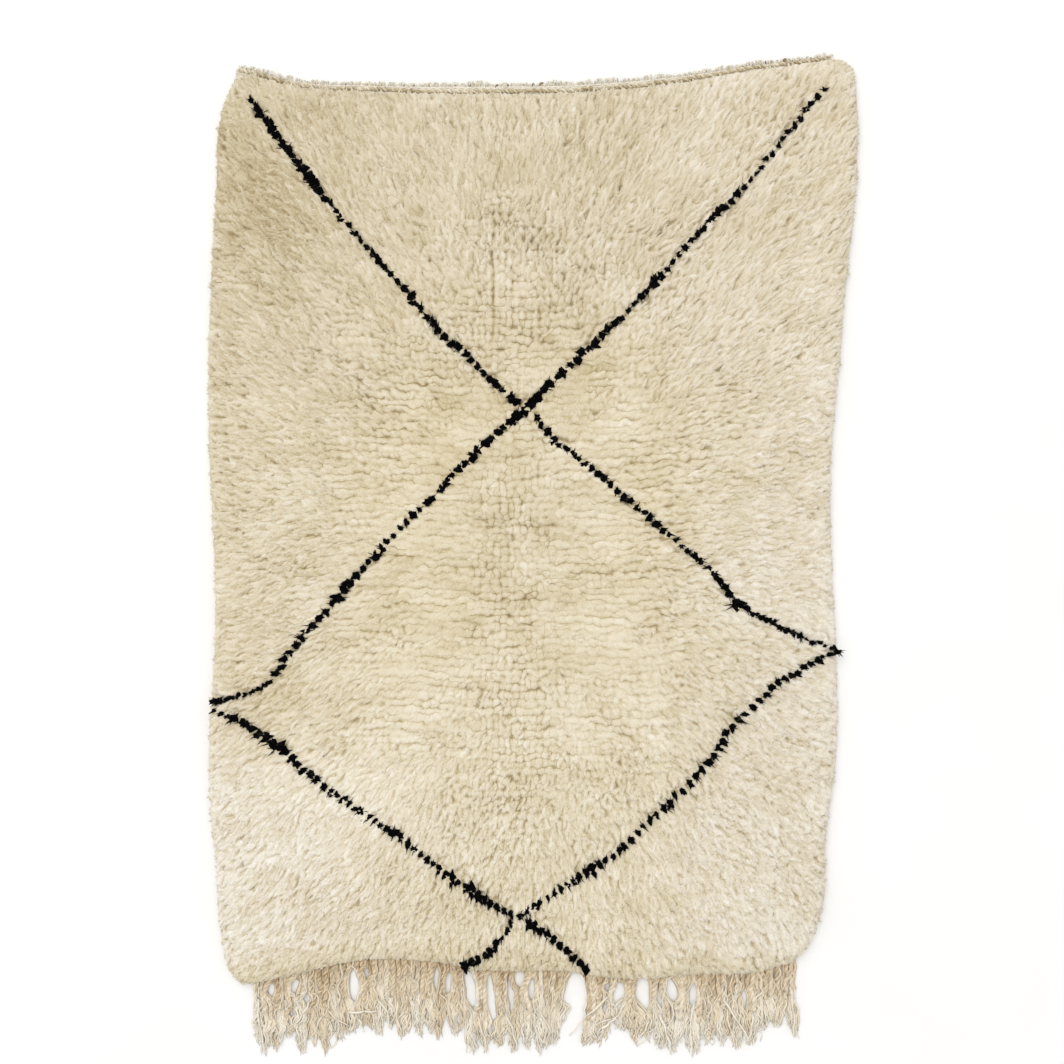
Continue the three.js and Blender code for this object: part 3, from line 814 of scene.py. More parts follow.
def creaseShares(x, y, spread, middle):
    # how strongly the creases between rows and between columns show at each point, as painted shade and in
    # the bump
    lies = smoothStep(spread, 0.55, 0.95)
    calm = smoothStep(softNoise(x, y, 0.075, 62), -0.5, 0.6)
    brokenRows = smoothStep(softNoise(x, y, 0.011, 63) + 0.7 * softNoise(x, y * 3, 0.036, 64), -0.30, 0.75)
    deeper = 1 + 0.6 * smoothStep(softNoise(x, y * 2.5, 0.05, 68), 0.25, 0.7)
    rowShare = np.clip((0.22 + 0.74 * calm) * brokenRows * deeper * (1 - 0.50 * lies), 0.02, 1.5)
    brokenColumns = smoothStep(softNoise(x, y, 0.012, 65) + 0.5 * softNoise(x, y, 0.028, 66), -0.3, 0.6)
    columnShare = np.clip((0.12 + 0.85 * np.maximum(middle, 0.35 * lies)) * brokenColumns, 0.02, 1)
    return rowShare, columnShare


def fleeceRelief(a, b, x, y, shapes, dark):
    # the height of the locks above the even top, and their tone, at every point of the fleece
    s = fleeceSettings
    spread = np.maximum(np.hypot(a, b), 1e-6)
    lean = pileSettings["rimLean"] * smoothStep(spread, 0.1, 0.95) * 0.8 / spread
    rootA, rootB = a - lean * a / halfWidth, b - lean * b / halfLength
    limitA, limitB = 1 - pileSettings["rimInset"] / halfWidth, 1 - pileSettings["rimInset"] / halfLength
    rows, columns = dark.shape
    column = np.rint((rootA / limitA + 1) / 2 * (columns - 1)).astype(int)
    row = np.rint((1 - rootB / limitB) / 2 * (rows - 1)).astype(int)
    # cells show down the middle, and elsewhere the locks of a row run together
    middle = cellShare(x, y)
    wideX = s["standing"][0] * (1 - middle) + s["cell"][0] * middle
    wideY = s["standing"][1] * (1 - middle) + s["cell"][1] * middle
    merge = s["merge"] * (1 + 0.5 * softNoise(x, y, 0.045, 52))
    dome = s["dome"] * (1 + 0.35 * softNoise(x, y, 0.085, 59))
    wavyX = roughen(x, x, y, (0.0020, 0.0105, 54), (0.0011, 0.0052, 55))
    wavyY = roughen(y, x, y, (0.0030, 0.0160, 56), (0.0014, 0.0052, 57))
    total, toneSum = np.full(x.shape, 1e-30), np.zeros(x.shape)
    best = {key: np.full(x.shape, -1.0) for key in ("evenRow", "oddRow", "evenColumn", "oddColumn")}
    locks = lockTable(shapes, dark)
    for stepR in range(-2, 3):
        for stepC in range(-2, 3):
            r, c = np.clip(row + stepR, 0, rows - 1), np.clip(column + stepC, 0, columns - 1)
            evenR, evenC = r % 2 == 0, c % 2 == 0
            for lock in locks:
                vx, vy = wavyX - lock["x"][r, c], wavyY - lock["y"][r, c]
                dirX, dirY, lying = lock["dirX"][r, c], lock["dirY"][r, c], lock["lying"][r, c]
                ahead = vx * dirX + vy * dirY
                beside = vy * dirX - vx * dirY
                standing = ((vx / wideX) ** 2 + (vy / wideY) ** 2) ** 1.5
                past = np.maximum(ahead, 0) / s["lyingTip"]
                narrow = lock["wide"][r, c] * (1 - 0.5 * smoothStep(ahead, -0.008, 0.002))
                lain = past**2 + (beside / narrow) ** 2
                drop = dome * ((1 - lying) * standing + lying * 0.95 * lain)
                drop = drop + lying * s["lyingRise"] * np.maximum(-ahead, 0)
                high = lock["high"][r, c] - drop
                for key, held in zip(best, (evenR, ~evenR, evenC, ~evenC)):
                    np.maximum(best[key], high, out=best[key], where=held)
                weight = np.exp(high / merge)
                total += weight
                toneSum += weight * lock["tone"][r, c]
    relief = merge * (np.log(total) - math.log(4))
    # how far each point is from the crease between two rows or columns, further where the crease is faint
    rowShare, columnShare = creaseShares(x, y, spread, middle)
    partings = {
        "row_parting": crossingDistance(best["evenRow"] - best["oddRow"], x, y) / rowShare,
        "column_parting": crossingDistance(best["evenColumn"] - best["oddColumn"], x, y) / columnShare,
    }
    return np.maximum(relief, s["floor"]), toneSum / total, partings


# Thin wavy cracks open between the rows, most of them where the pile stands.
crackSettings = {
    "seed": 57,
    "alongRows": 150,
    "downRows": 30,
    "deep": (0.0010, 0.0036),
    "half": 0.62,  # in points of the fleece's grid, as are the next two
    "margin": 12,  # kept clear of cracks round the edge
    "shortest": 5,
}


def openCracks(shape):
    # how deep each point of the fleece lies in a crack
    s = crackSettings
    rng = np.random.default_rng(s["seed"])
    margin = s["margin"]
    sunk = np.zeros(shape)
    for n in range(s["alongRows"] + s["downRows"]):
        field = sunk if n < s["alongRows"] else sunk.T
        high, wide = field.shape
        if n < s["alongRows"]:
            startRow, start = rng.normal(0.47, 0.2) * high, rng.normal(0.45, 0.26) * wide
            length = int(rng.uniform(8, 26) * rng.choice((1, 1, 2, 3)))
        else:
            startRow, start = rng.normal(0.48, 0.09) * high, rng.normal(0.55, 0.2) * wide
            length = int(rng.uniform(6, 20))
        deep = rng.uniform(*s["deep"]) * min(1, 0.5 + length / 60)
        start = int(start)
        columns = np.arange(max(start, margin), min(start + length, wide - margin))
        if len(columns) < s["shortest"] or not margin + 4 < startRow < high - margin - 4:
            continue
        wander = 1.3 * np.sin(columns / rng.uniform(2.2, 3.6) + rng.uniform(0, 6))
        wander = wander + rng.normal(0, 0.10) * (columns - start)
        wander += 2.2 * np.sin(columns / rng.uniform(7, 14) + rng.uniform(0, 6))
        middle = np.clip(startRow + wander, margin, high - margin - 1)
        t = np.clip((columns - start) / length, 0.02, 0.98)
        taper = np.sin(math.pi * t) ** 0.5 * rng.uniform(0.55, 1, len(columns))
        for step in range(-2, 4):
            row = np.floor(middle).astype(int) + step
            groove = deep * taper * np.exp(-(((row - middle) / s["half"]) ** 2))
            np.maximum.at(field, (row, columns), groove)
    return sunk


# One faint parting runs up from the crossing: where it lies from the centre line and down the rug, how deep
# it sinks and how much painted shade darkens it.
partingSettings = {
    "across": -0.048,
    "from": 0.190,
    "to": 0.430,
    "fade": 0.05,
    "half": 0.0024,
    "wander": 0.0026,
    "deep": 0.0030,
    # painted shade inside the parting
    "darker": 0.24,
}


def uprightParting(x, y):
    # 1 down the middle of the parting and 0 beside it
    s = partingSettings
    down = rugLayout["headLine"] - y
    aside = x - rugLayout["centreLine"] - s["across"] - s["wander"] * softNoise(down, 0, 0.035, 92)
    within = smoothStep(down, s["from"], s["from"] + s["fade"])
    within = within * (1 - smoothStep(down, s["to"] - s["fade"], s["to"]))
    return within * (0.65 + 0.35 * softNoise(down, 0, 0.02, 93)) * np.exp(-((aside / s["half"]) ** 2))


def runningMean(values, width):
    # box blur along both ways of the grid
    size = 2 * width + 1
    for axis in (0, 1):
        first, last = values.take([0], axis), values.take([-1], axis)
        ends = [np.repeat(first, width + 1, axis), values, np.repeat(last, width, axis)]
        summed = np.cumsum(np.concatenate(ends, axis), axis)
        long = summed.shape[axis]
        values = (summed.take(range(size, long), axis) - summed.take(range(long - size), axis)) / size
    return values


def surfaceNormals(points):
    across, along = np.gradient(points, axis=1), np.gradient(points, axis=0)
    normals = np.cross(across, along)
    return normals / np.maximum(np.linalg.norm(normals, axis=-1, keepdims=True), 1e-12)


def fleeceBand(name, points, normals, fibres, layers, material):
    # one band of the fleece as a piece, with the values that its wool is drawn from
    high, wide = points.shape[0] - 1, points.shape[1]
    loops = gridFaces(high, wide).ravel()
    u, v = (np.arange(wide)[None] + 0.5) / wide, (np.arange(high + 1)[:, None] + 0.5) / (high + 1)
    chart = np.stack(np.broadcast_arrays(u, v), axis=-1).reshape(-1, 2)[loops]
    starts = np.arange(0, len(loops), 4)
    flatPoints, flatNormals = points.reshape(-1, 3), normals.reshape(-1, 3)
    piece = meshFromArrays(name, flatPoints, loops, starts, chart, material, flatNormals)
    runs = piece.data.uv_layers.new(name="fibres")
    runs.data.foreach_set("uv", fibres.reshape(-1, 2)[loops].astype(np.float32).ravel())
    for key, values in layers.items():
        layer = piece.data.attributes.new(key, "FLOAT", "POINT")
        layer.data.foreach_set("value", values.astype(np.float32).ravel())
    return piece


def makeFleece(shapes, dark, material):
    s = fleeceSettings
    placesA, turnsA = edgedSteps(rugLayout["pileWidth"])
    placesB, turnsB = edgedSteps(rugLayout["pileLength"])
    b, a = np.meshgrid(placesB, placesA, indexing="ij")
    turn = np.minimum(turnsB[:, None], turnsA[None])
    x, y = place(a, b)
    rise = np.where(turn > 0, s["top"] - s["widest"], s["widest"] - 0.0008) * np.sin(turn)
    base = np.stack([x, y, s["widest"] + rise], axis=-1)
    relief, tone, partings = fleeceRelief(a, b, x, y, shapes, dark)
    atRim = smoothStep(turn, -0.6, 0.9)
    relief = np.maximum(relief, -s["edgeFloor"] - 0.006 * smoothStep(turn, 0.6, 1.4))
    relief = relief * (0.25 + 0.75 * atRim)
    # the fibres run outwards from the middle of the rug
    around, outwards = np.arctan2(b, a) * 0.42, np.hypot(x, y)
    streaks = s["streaks"]["high"] * softNoise(around, outwards * 0.25, s["streaks"]["cell"], 53)
    relief = relief + streaks * atRim - openCracks(a.shape)
    relief = relief + s["grain"]["high"] * softNoise(x, y, s["grain"]["cell"], 58) * atRim
    parting = uprightParting(x, y)
    relief = relief - partingSettings["deep"] * parting
    points = base + surfaceNormals(base) * relief[..., None]
    points[..., 2] = np.maximum(points[..., 2], s["lowest"])
    contrast = zoned(1, a, b, s["contrastZones"])
    whiteness = zoned(s["whiteness"], a, b, s["whiterZones"]) + 0.25 * softNoise(x, y, 0.11, 67)
    layers = {
        # painted shade darkens the wool down the upright parting
        "wool_tone": tone - partingSettings["darker"] * parting,
        # how far each point lies below its neighbours, which the material turns into painted shade
        "wool_depth": (runningMean(points[..., 2], 3) - points[..., 2]) * contrast,
        "wool_whiteness": np.clip(whiteness, 0, 1) * zoned(1, a, b, s["yellowFoot"]),
        "wool_contrast": contrast,
        **partings,
    }
    normals, fibres = surfaceNormals(points), np.stack([around, outwards], axis=-1)
    made = []
    cuts = np.linspace(0, len(a) - 1, len(s["bands"]) + 1).astype(int)
    for name, first, last in zip(s["bands"], cuts, cuts[1:]):
        band = slice(first, last + 1)
        own = {key: values[band] for key, values in layers.items()}
        made.append(
            fleeceBand("cream_pile_" + name, points[band], normals[band], fibres[band], own, material)
        )
    return made


# A black knot is a short dark core with locks that spread over the cream wool round it.
def makeBlackKnots(shapes, dark, thick, material):
    s = knotSettings
    rng = np.random.default_rng(s["seed"] + 1)
    root, tip, reach = shapes["root"][dark], shapes["tip"][dark], shapes["reach"][dark]
    size = thick[dark][:, None]
    count = len(root)
    lying = lyingShare(reach)[:, None]
    heading = (tip - root)[:, :2] / np.maximum(reach, 1e-9)[:, None]
    tip[:, 2] = fleeceSettings["top"] + s["above"] + rng.normal(0, 0.0004, count)
    start = root * 0.35 + tip * 0.65
    start[:, 2] = s["coreFoot"]
    paths = bentPaths(start, tip, (0.3, 0.8, 0.95, 1.0))
    widths = s["core"] * size * np.array([[1.0, 1.0, 0.7]]) * rng.normal(1, 0.10, (count, 1))
    widths = widths * (1 - 0.12 * lying)
    uneven = rng.normal(1, 0.28, (count, 3, 6))
    tone = rng.uniform(0, 0.8, count)
    sideways = acrossLean(start, tip)
    cores = sweep("black_pile_cores", paths, widths, sideways, 6, tone, rng, material, 0.85, uneven)

    # blunt locks break up its outline, and a few thin ones reach further, most of them the way the pile lies
    each = s["locks"] + s["spikes"]
    owner, number = np.repeat(np.arange(count), each), np.tile(np.arange(each), count)
    amount = len(owner)
    isSpike = number >= s["locks"]
    turn = rng.uniform(0, 2 * math.pi, count)[owner] + number * 2 * math.pi / s["locks"]
    turn = turn + rng.normal(0, 0.7, amount)
    heading, lying, size = heading[owner], lying[owner], size[owner, 0]
    lies = np.arctan2(heading[:, 1], heading[:, 0]) + math.pi * (rng.random(amount) < 0.35)
    turn = np.where(isSpike & (lying[:, 0] > 0.3), lies + rng.normal(0, 0.45, amount), turn)
    far = np.where(isSpike, s["spikeReach"], s["lockReach"]) * size**0.8 * rng.uniform(0.45, 1.2, amount)
    out = np.stack([np.cos(turn), np.sin(turn)], axis=1) * far[:, None]
    out += heading * (out * heading).sum(1, keepdims=True) * lying * 0.35
    lockTip = tip[owner] + withHeight(out, 0.0006)
    lockStart = tip[owner] + withHeight(out * 0.1, -0.0050)
    paths = bentPaths(lockStart, lockTip, (0.0, 0.45, 0.75, 1.0), 1.1, 0.3)
    wide = np.where(isSpike, s["spikeWidth"], s["lockWidth"] * size)[:, None]
    widths = wide * np.array([[1.1, 1.05, 0.62]]) * rng.normal(1, 0.15, (amount, 1))
    tone = np.where(isSpike, rng.uniform(0.6, 0.99, amount), rng.uniform(0, 0.75, amount))
    sideways = acrossLean(lockStart, lockTip)
    return [cores, sweep("black_pile_locks", paths, widths, sideways, 3, tone, rng, material, 0.7)]


def makePile(materials):
    shapes = tuftShapes()
    dark, thick = darkKnots(shapes)
    made = makeFleece(shapes, dark, materials["fleece"])
    made += makeBlackKnots(shapes, dark, thick, materials["blackWool"])
    made.append(makeRim(materials["creamWool"]))
    print("pile made:", int((~dark).sum()), "cream knots and", int(dark.sum()), "black ones")
    return made


# Short tufts lie out round the edge, under the fleece.
rimSettings = {
    "seed": 61,
    "count": 2600,
    "inset": 0.0075,
    "out": 0.0068,
    "rootHeight": 0.006,
    "lowestTip": 0.0026,
    "widths": (0.0022, 0.0026, 0.0019),
}


def rimPlaces(count, inset):
    # evenly spaced places round the outline, each with its outward direction
    turn = np.linspace(0, 4, 4001)[:-1]
    side, share = turn.astype(int), (turn % 1) * 2 - 1
    one = np.ones_like(share)
    a = np.choose(side, [share, one, -share, -one])
    b = np.choose(side, [-one, share, one, -share])
    x, y = place(a, b)
    step = np.hypot(np.roll(x, -1) - x, np.roll(y, -1) - y)
    along = np.concatenate([[0], np.cumsum(step)])
    marks = (np.arange(count) + 0.5) / count * along[-1]
    x2 = np.interp(marks, along, np.append(x, x[0]))
    y2 = np.interp(marks, along, np.append(y, y[0]))
    ahead = np.stack([np.roll(x2, -1) - np.roll(x2, 1), np.roll(y2, -1) - np.roll(y2, 1)], axis=1)
    ahead /= np.linalg.norm(ahead, axis=1, keepdims=True)
    outward = np.stack([ahead[:, 1], -ahead[:, 0]], axis=1)
    return np.stack([x2, y2], axis=1) - outward * inset, outward


def makeRim(material):
    s = rimSettings
    rng = np.random.default_rng(s["seed"])
    at, outward = rimPlaces(s["count"], s["inset"])
    count = len(at)
    root = withHeight(at, s["rootHeight"] * rng.uniform(0.6, 2.0, count))
    atHead = smoothStep(outward[:, 1], 0.6, 0.9)
    ragged = 1 + (0.2 + 0.5 * atHead) * softNoise(at[:, 0], at[:, 1], 0.012, 86)
    out = s["out"] * rng.normal(1, 0.22, count) * ragged
    sideways = np.stack([-outward[:, 1], outward[:, 0]], axis=1) * rng.normal(0, 0.0030, (count, 1))
    tip = root + withHeight(outward * out[:, None] + sideways, 0.0)
    tip[:, 2] = root[:, 2] - 0.001 + rng.normal(0, 0.0015, count)
    tip[:, 2] = np.maximum(tip[:, 2], s["lowestTip"])
    paths = bentPaths(root, tip, (0.0, 0.45, 0.8, 1.0), 1.0, 0.4)
    widths = np.array([s["widths"]]) * rng.normal(1, 0.2, (count, 1))
    # a pale tone: painted light that lifts the rim tufts out of the shade under the fleece
    tone = np.clip(rng.normal(0.80, 0.12, count), 0, 0.999)
    return sweep("cream_pile_rim", paths, widths, acrossLean(root, tip), 3, tone, rng, material, 0.7)


# The woven ground is a closed sheet under the pile.
groundSettings = {"inset": 0.006, "bottom": 0.0002, "top": 0.0043, "facesAcross": 40, "facesAlong": 56}


def makeGround(material):
    s = groundSettings
    across, along = s["facesAcross"], s["facesAlong"]
    limitA, limitB = 1 - s["inset"] / halfWidth, 1 - s["inset"] / halfLength
    b, a = np.meshgrid(
        np.linspace(-limitB, limitB, along + 1), np.linspace(-limitA, limitA, across + 1), indexing="ij"
    )
    x, y = place(a, b)
    sheets = [np.stack([x, y, np.full_like(x, z)], -1).reshape(-1, 3) for z in (s["top"], s["bottom"])]
    wide, half = across + 1, (across + 1) * (along + 1)
    above = gridFaces(along, wide)
    below = above[:, ::-1] + half
    right, left = np.arange(along) * wide + across, np.arange(along, 0, -1) * wide
    rim = np.concatenate([np.arange(across), right, along * wide + np.arange(across, 0, -1), left])
    ahead = np.roll(rim, -1)
    edge = np.stack([rim + half, ahead + half, ahead, rim], axis=1)
    loops = np.concatenate([above, below, edge]).ravel()
    starts = np.arange(0, len(loops), 4)
    print("ground made:", len(starts), "faces")
    return meshFromArrays("ground_weave", np.concatenate(sheets), loops, starts, None, material)


# The flat-woven heading: rows of weft, a twined cord and the short loops of the warp.
headingSettings = {
    "seed": 71,
    "left": -0.442,
    "right": 0.470,
    "inMiddle": 0.013,
    "atEnds": 0.005,
    "under": 0.014,
    "steps": 240,
    "weftPitch": 0.0030,
    "weftRadius": 0.0018,
    "weftHeight": 0.0027,
    "weftWave": 0.0055,
    "weftSwing": 0.0006,
    "cordSteps": 800,
    "cordIn": 0.0034,
    "cordRadius": 0.0020,
    "cordHeight": 0.0048,
    "cordTwist": 0.0125,
    "cordTone": 0.46,
    "loopPitch": 0.0058,
    "loopRise": 0.0072,
    "loopRadius": 0.00115,
    "loopSlant": 0.0042,
    "loopSteps": 7,
    "darkLoops": 0.05,
}


def headingLine(across, beyond):
    # a point on the head end, a distance beyond the pile
    slope = (headEdge(across + 0.002) - headEdge(across - 0.002)) / 0.004
    scale = 1 / np.sqrt(1 + slope**2)
    return onRug(across + beyond * slope * scale, beyond * scale - headEdge(across))


def headingDepth(across):
    s = headingSettings
    share = np.clip((across / s["right"]) ** 2, 0, 1)
    return s["inMiddle"] * (1 - share) + s["atEnds"] * share


def acrossPath(paths):
    # level and at right angles to each path
    along = np.gradient(paths, axis=1)
    crosswise = np.stack([-along[..., 1], along[..., 0], np.zeros_like(along[..., 0])], axis=-1)
    return crosswise / np.maximum(np.linalg.norm(crosswise, axis=2, keepdims=True), 1e-9)


def headingWefts(rng, material):
    s = headingSettings
    across = np.linspace(s["left"], s["right"], s["steps"])
    depth = headingDepth(across)
    wefts = []
    count = int(round((s["inMiddle"] + s["under"]) / s["weftPitch"]))
    for n in range(count):
        beyond = -s["under"] + (depth + s["under"] - 0.001) * ((n + 0.5) / count)
        x, y = headingLine(across, roughen(beyond, across, 0, (0.0004, 0.03, 200 + n)))
        z = s["weftHeight"] + s["weftSwing"] * np.sin(across / s["weftWave"] * math.pi + n * math.pi)
        wefts.append(np.stack([x, y, z], axis=1))
    wefts = np.array(wefts)
    widths = np.full((count, s["steps"] - 1), s["weftRadius"])
    tone = rng.uniform(0.70, 0.95, count)
    return sweep("heading_weft", wefts, widths, acrossPath(wefts), 4, tone, rng, material, bounce=6)


def headingCord(rng, material):
    # the twined cord lies on the weft, a little in from the edge
    s = headingSettings
    across = np.linspace(s["left"] + 0.004, s["right"] - 0.004, s["cordSteps"])
    x, y = headingLine(across, s["cordIn"] + 0.0016 * softNoise(across, 0, 0.021, 81))
    turn = 2 * math.pi * across / s["cordTwist"]
    swing = s["cordRadius"] * (0.85 + 0.3 * softNoise(across, 0, 0.013, 82))
    plies = np.array([
        np.stack(
            [x, y + swing * np.cos(turn + phase), s["cordHeight"] + swing * np.sin(turn + phase)], axis=1
        )
        for phase in (0, math.pi)
    ])
    apart = np.stack([across, across + 9])[:, 1:]  # far enough apart for each ply to swell by itself
    widths = s["cordRadius"] * (1 + 0.35 * softNoise(apart, 0, 0.008, 83))
    both = np.stack([across, across])[:, 1:]
    tone = s["cordTone"] + np.array([[-0.10], [0.10]]) + 0.22 * softNoise(both, 0, 0.026, 84)
    return sweep("heading_cord", plies, widths, acrossPath(plies), 5, tone, rng, material, bounce=6)


def headingLoops(rng, material):
    # short warp loops and their fuzz stand past the edge, three to a pitch
    s = headingSettings
    across = np.arange(s["left"] + 0.002, s["right"] - 0.002, s["loopPitch"] / 3)
    count = len(across)
    across = across + rng.normal(0, 0.0012, count)
    start = headingDepth(across) - 0.004
    rise = s["loopRise"] * rng.uniform(0.1, 1.0, count) * (0.8 + 0.4 * softNoise(across, 0, 0.03, 85)) + 0.004
    slant = rng.normal(0, s["loopSlant"], count)
    t = np.linspace(0, 1, s["loopSteps"])[None]
    beyond = start[:, None] + rise[:, None] * np.sin(t * math.pi * 0.86)
    sway = slant[:, None] * t + (s["loopPitch"] * 0.32) * (1 - np.cos(t * math.pi)) / 2
    x, y = headingLine(across[:, None] + sway, beyond)
    z = 0.0024 + 0.0022 * np.sin(t * math.pi) * rng.uniform(0.5, 1.4, (count, 1))
    loops = np.stack([x, y, z], axis=-1)
    widths = np.full((count, s["loopSteps"] - 1), s["loopRadius"]) * rng.normal(1, 0.16, (count, 1))
    tone = np.where(rng.random(count) < s["darkLoops"], 0.06, rng.uniform(0.62, 0.99, count))
    print("heading made:", count, "warp loops")
    return sweep("heading_loops", loops, widths, acrossPath(loops), 3, tone, rng, material, bounce=8)


def makeHeading(material):
    rng = np.random.default_rng(headingSettings["seed"])
    return [makePart(rng, material) for makePart in (headingWefts, headingCord, headingLoops)]


# The fringe is the warp: plied cords that open into wavy yarns and end in pointed clumps.
# Each clump's point, in millimetres: across, and how far it reaches past the foot of the pile.
fringeClumps = [
    (-400, 133), (-382, 131), (-358, 103), (-341, 132), (-322, 120), (-306, 134), (-284, 117), (-263, 104),
    (-243, 92), (-226, 105), (-206, 91), (-186, 112), (-160, 107), (-134, 109), (-106, 103), (-81, 132),
    (-62, 127), (-40, 122), (-18, 129), (4, 121), (26, 133), (40, 129), (53, 107), (96, 121), (113, 120),
    (150, 98), (170, 118), (187, 113), (204, 130), (225, 132), (256, 135), (280, 119), (301, 116), (324, 125),
    (347, 118), (365, 96), (385, 92), (412, 104),
]
# Gaps that the cords part round, in millimetres: the middle, across and past the foot of the pile, half the
# width, half the height, and how much it slants.
fringeGaps = [
    (-389, 27, 6.0, 12, 0.0), (-352, 21, 6.0, 13, -0.4), (-334, 40, 6.0, 8, 0.0), (-359, 71, 4.6, 14, 0.0),
    (-262, 20, 8.0, 27, 0.0), (-244, 2, 3.6, 10, 0.0), (-135, 12, 5.0, 20, 0.0), (-118, 18, 4.5, 19, -0.1),
    (-101, 72, 3.6, 10, 0.0), (-84, 25, 7.5, 31, 0.25), (-52, 50, 6.5, 50, 0.10), (-22, 30, 5.0, 31, 0.10),
    (-7, 12, 9.0, 15, 0.0), (9, 26, 5.0, 19, 0.0), (76, 54, 19.0, 56, -0.12), (126, 23, 5.0, 9, 0.0),
    (144, 41, 8.5, 27, -0.2), (123, 58, 3.6, 14, -0.1), (181, 34, 12.5, 30, 0.1), (204, 38, 4.6, 24, 0.0),
    (225, 28, 8.5, 19, 0.2), (257, 35, 6.0, 20, 0.0), (334, 47, 5.0, 20, -0.1),
]
# Yarns that lie across the rest, in millimetres: the start and the end, each across and past the foot, and
# how far the yarn bows aside.
fringeStrays = [
    (-270, 61, -226, 59, 2), (-408, 40, -396, 128, -3), (-330, 44, -356, 84, 3), (-302, 58, -268, 84, -2),
    (-312, 66, -330, 104, 2), (-254, 70, -246, 92, 0), (-225, 40, -208, 86, 6), (-195, 42, -188, 96, -4),
    (127, 38, 66, 99, -4), (112, 78, 150, 62, 2), (118, 86, 142, 66, 0), (301, 40, 345, 113, 4),
    (308, 56, 324, 120, -2), (258, 44, 255, 132, -3), (206, 64, 224, 126, 2), (190, 74, 168, 108, 2),
    (20, 20, 44, 96, -8), (-30, 62, -12, 122, 3), (-74, 66, -58, 124, 2), (348, 62, 338, 110, 3),
    (405, 20, 412, 98, 2),
]
fringeSettings = {
    "seed": 83,
    "left": -0.414,
    "right": 0.412,
    "under": 0.012,  # how far the roots start under the pile
    "beside": 0.012,  # the width of cord that gathers beside a gap
    "wider": 1.6,  # millimetres added to half the width of each gap
    "narrowing": 0.26,  # how far a clump draws in towards its point
    "lowest": 0.0022,
    "cords": 88,
    "cordHeight": 0.0052,
    "plies": 4,
    "plyRadius": 0.00165,
    "twist": 0.0150,
    "plySteps": 30,
    "openYarns": 6,
    "openSteps": 14,
    "yarnRadius": 0.0016,
    "strayHeight": 0.0072,
    "cordTone": 0.66,
    "strayTone": 0.84,
    "rootDarker": 0.20,
    "endPaler": 0.12,
}
# Finer yarns lie matted under the cords, and loose ones wander over them.
singleYarns = [
    {
        "name": "fringe_matted_yarns", "count": 560, "steps": 17, "height": (0.0022, 0.0034), "waviness": 1.7,
        "tone": 0.70, "shortest": 0.82, "wide": 1.9, "flatness": 0.45, "curl": 0,
    },
    {
        "name": "fringe_loose_yarns", "count": 120, "steps": 31, "height": (0.0056, 0.0070), "waviness": 1.8,
        "tone": 0.78, "shortest": 0.55, "wide": 1.15, "flatness": 0.45, "curl": 1,
    },
]


def yarnLayout(count, rng, shortest, evenness):
    # roots side by side along the foot, each drawn to the point of its clump
    s = fringeSettings
    clumps = np.array(fringeClumps) / 1000
    edges = np.concatenate([[s["left"]], (clumps[1:, 0] + clumps[:-1, 0]) / 2, [s["right"]]])
    share = (np.arange(count) + 0.5 + rng.normal(0, evenness, count)) / count
    rootX = s["left"] + (s["right"] - s["left"]) * np.clip(share, 0.002, 0.998)
    chosen = np.clip(np.searchsorted(edges, rootX + rng.normal(0, 0.0035, count)) - 1, 0, len(clumps) - 1)
    half = (edges[chosen + 1] - edges[chosen]) / 2
    aside = np.clip((rootX - (edges[chosen] + half)) / half, -1.2, 1.2)
    reach = clumps[chosen, 1] * (1 - 0.13 * np.abs(aside) ** 1.5) * rng.uniform(shortest, 1, count)
    layout = {
        "rootX": rootX,
        "rootY": -(rugLayout["pileLength"] + footEdge(rootX)) + s["under"],
        "tipX": clumps[chosen, 0] + aside * half * (1 - s["narrowing"]),
        "tipY": -rugLayout["pileLength"] - reach,
    }
    for n, (size, cycle) in enumerate(((1.0, (0.040, 0.090)), (0.6, (0.016, 0.036)))):
        layout[f"wave{n}"] = size * rng.uniform(0.0006, 0.0030, count)
        layout[f"cycle{n}"] = rng.uniform(*cycle, count)
        layout[f"phase{n}"] = rng.uniform(0, 2 * math.pi, count)
    return {key: value[:, None] for key, value in layout.items()}


def yarnLine(layout, share, waviness=1.0):
    # the middle line of each yarn at the shares of its length, and the length there
    s = fringeSettings
    length = (layout["rootY"] - layout["tipY"]) * share
    y = layout["rootY"] - length
    x = layout["rootX"] + (layout["tipX"] - layout["rootX"]) * smoothStep(share, 0.55, 1)
    straight = x
    for n in (0, 1):
        turn = 2 * math.pi * length / layout[f"cycle{n}"] + layout[f"phase{n}"]
        x = x + waviness * layout[f"wave{n}"] * smoothStep(length, 0.006, 0.03) * np.sin(turn)
    past = -rugLayout["pileLength"] - y
    for across, down, wide, high, slant in fringeGaps:
        middle = across / 1000 + slant * (past - down / 1000)
        away = (past - down / 1000) / (high / 1000)
        opening = (wide + s["wider"]) / 1000 * np.sqrt(np.clip(1 - away**2, 0, 1))
        nearest = np.argmin(np.abs(away), axis=1)[:, None]
        side = np.sign(np.take_along_axis(straight - middle, nearest, 1) + 1e-9)
        off = np.maximum((x - middle) * side, 0)
        squeezed = opening + off * s["beside"] / (opening + s["beside"])
        x = np.where((off < opening + s["beside"]) & (opening > 0), middle + side * squeezed, x)
    return x, y, length


def fringePaths(x, y, z):
    z = np.broadcast_to(np.maximum(z, fringeSettings["lowest"]), x.shape)
    return np.stack([*onRug(x, y), z], axis=-1)


def rootTone(tone, length):
    # darker and browner near the roots, paler towards the ends
    s = fringeSettings
    paler = s["endPaler"] * smoothStep(length[:, 1:], 0.050, 0.110)
    darker = s["rootDarker"] * (1 - smoothStep(length[:, 1:], 0.010, 0.050))
    return np.clip(tone + paler - darker, 0, 0.999)


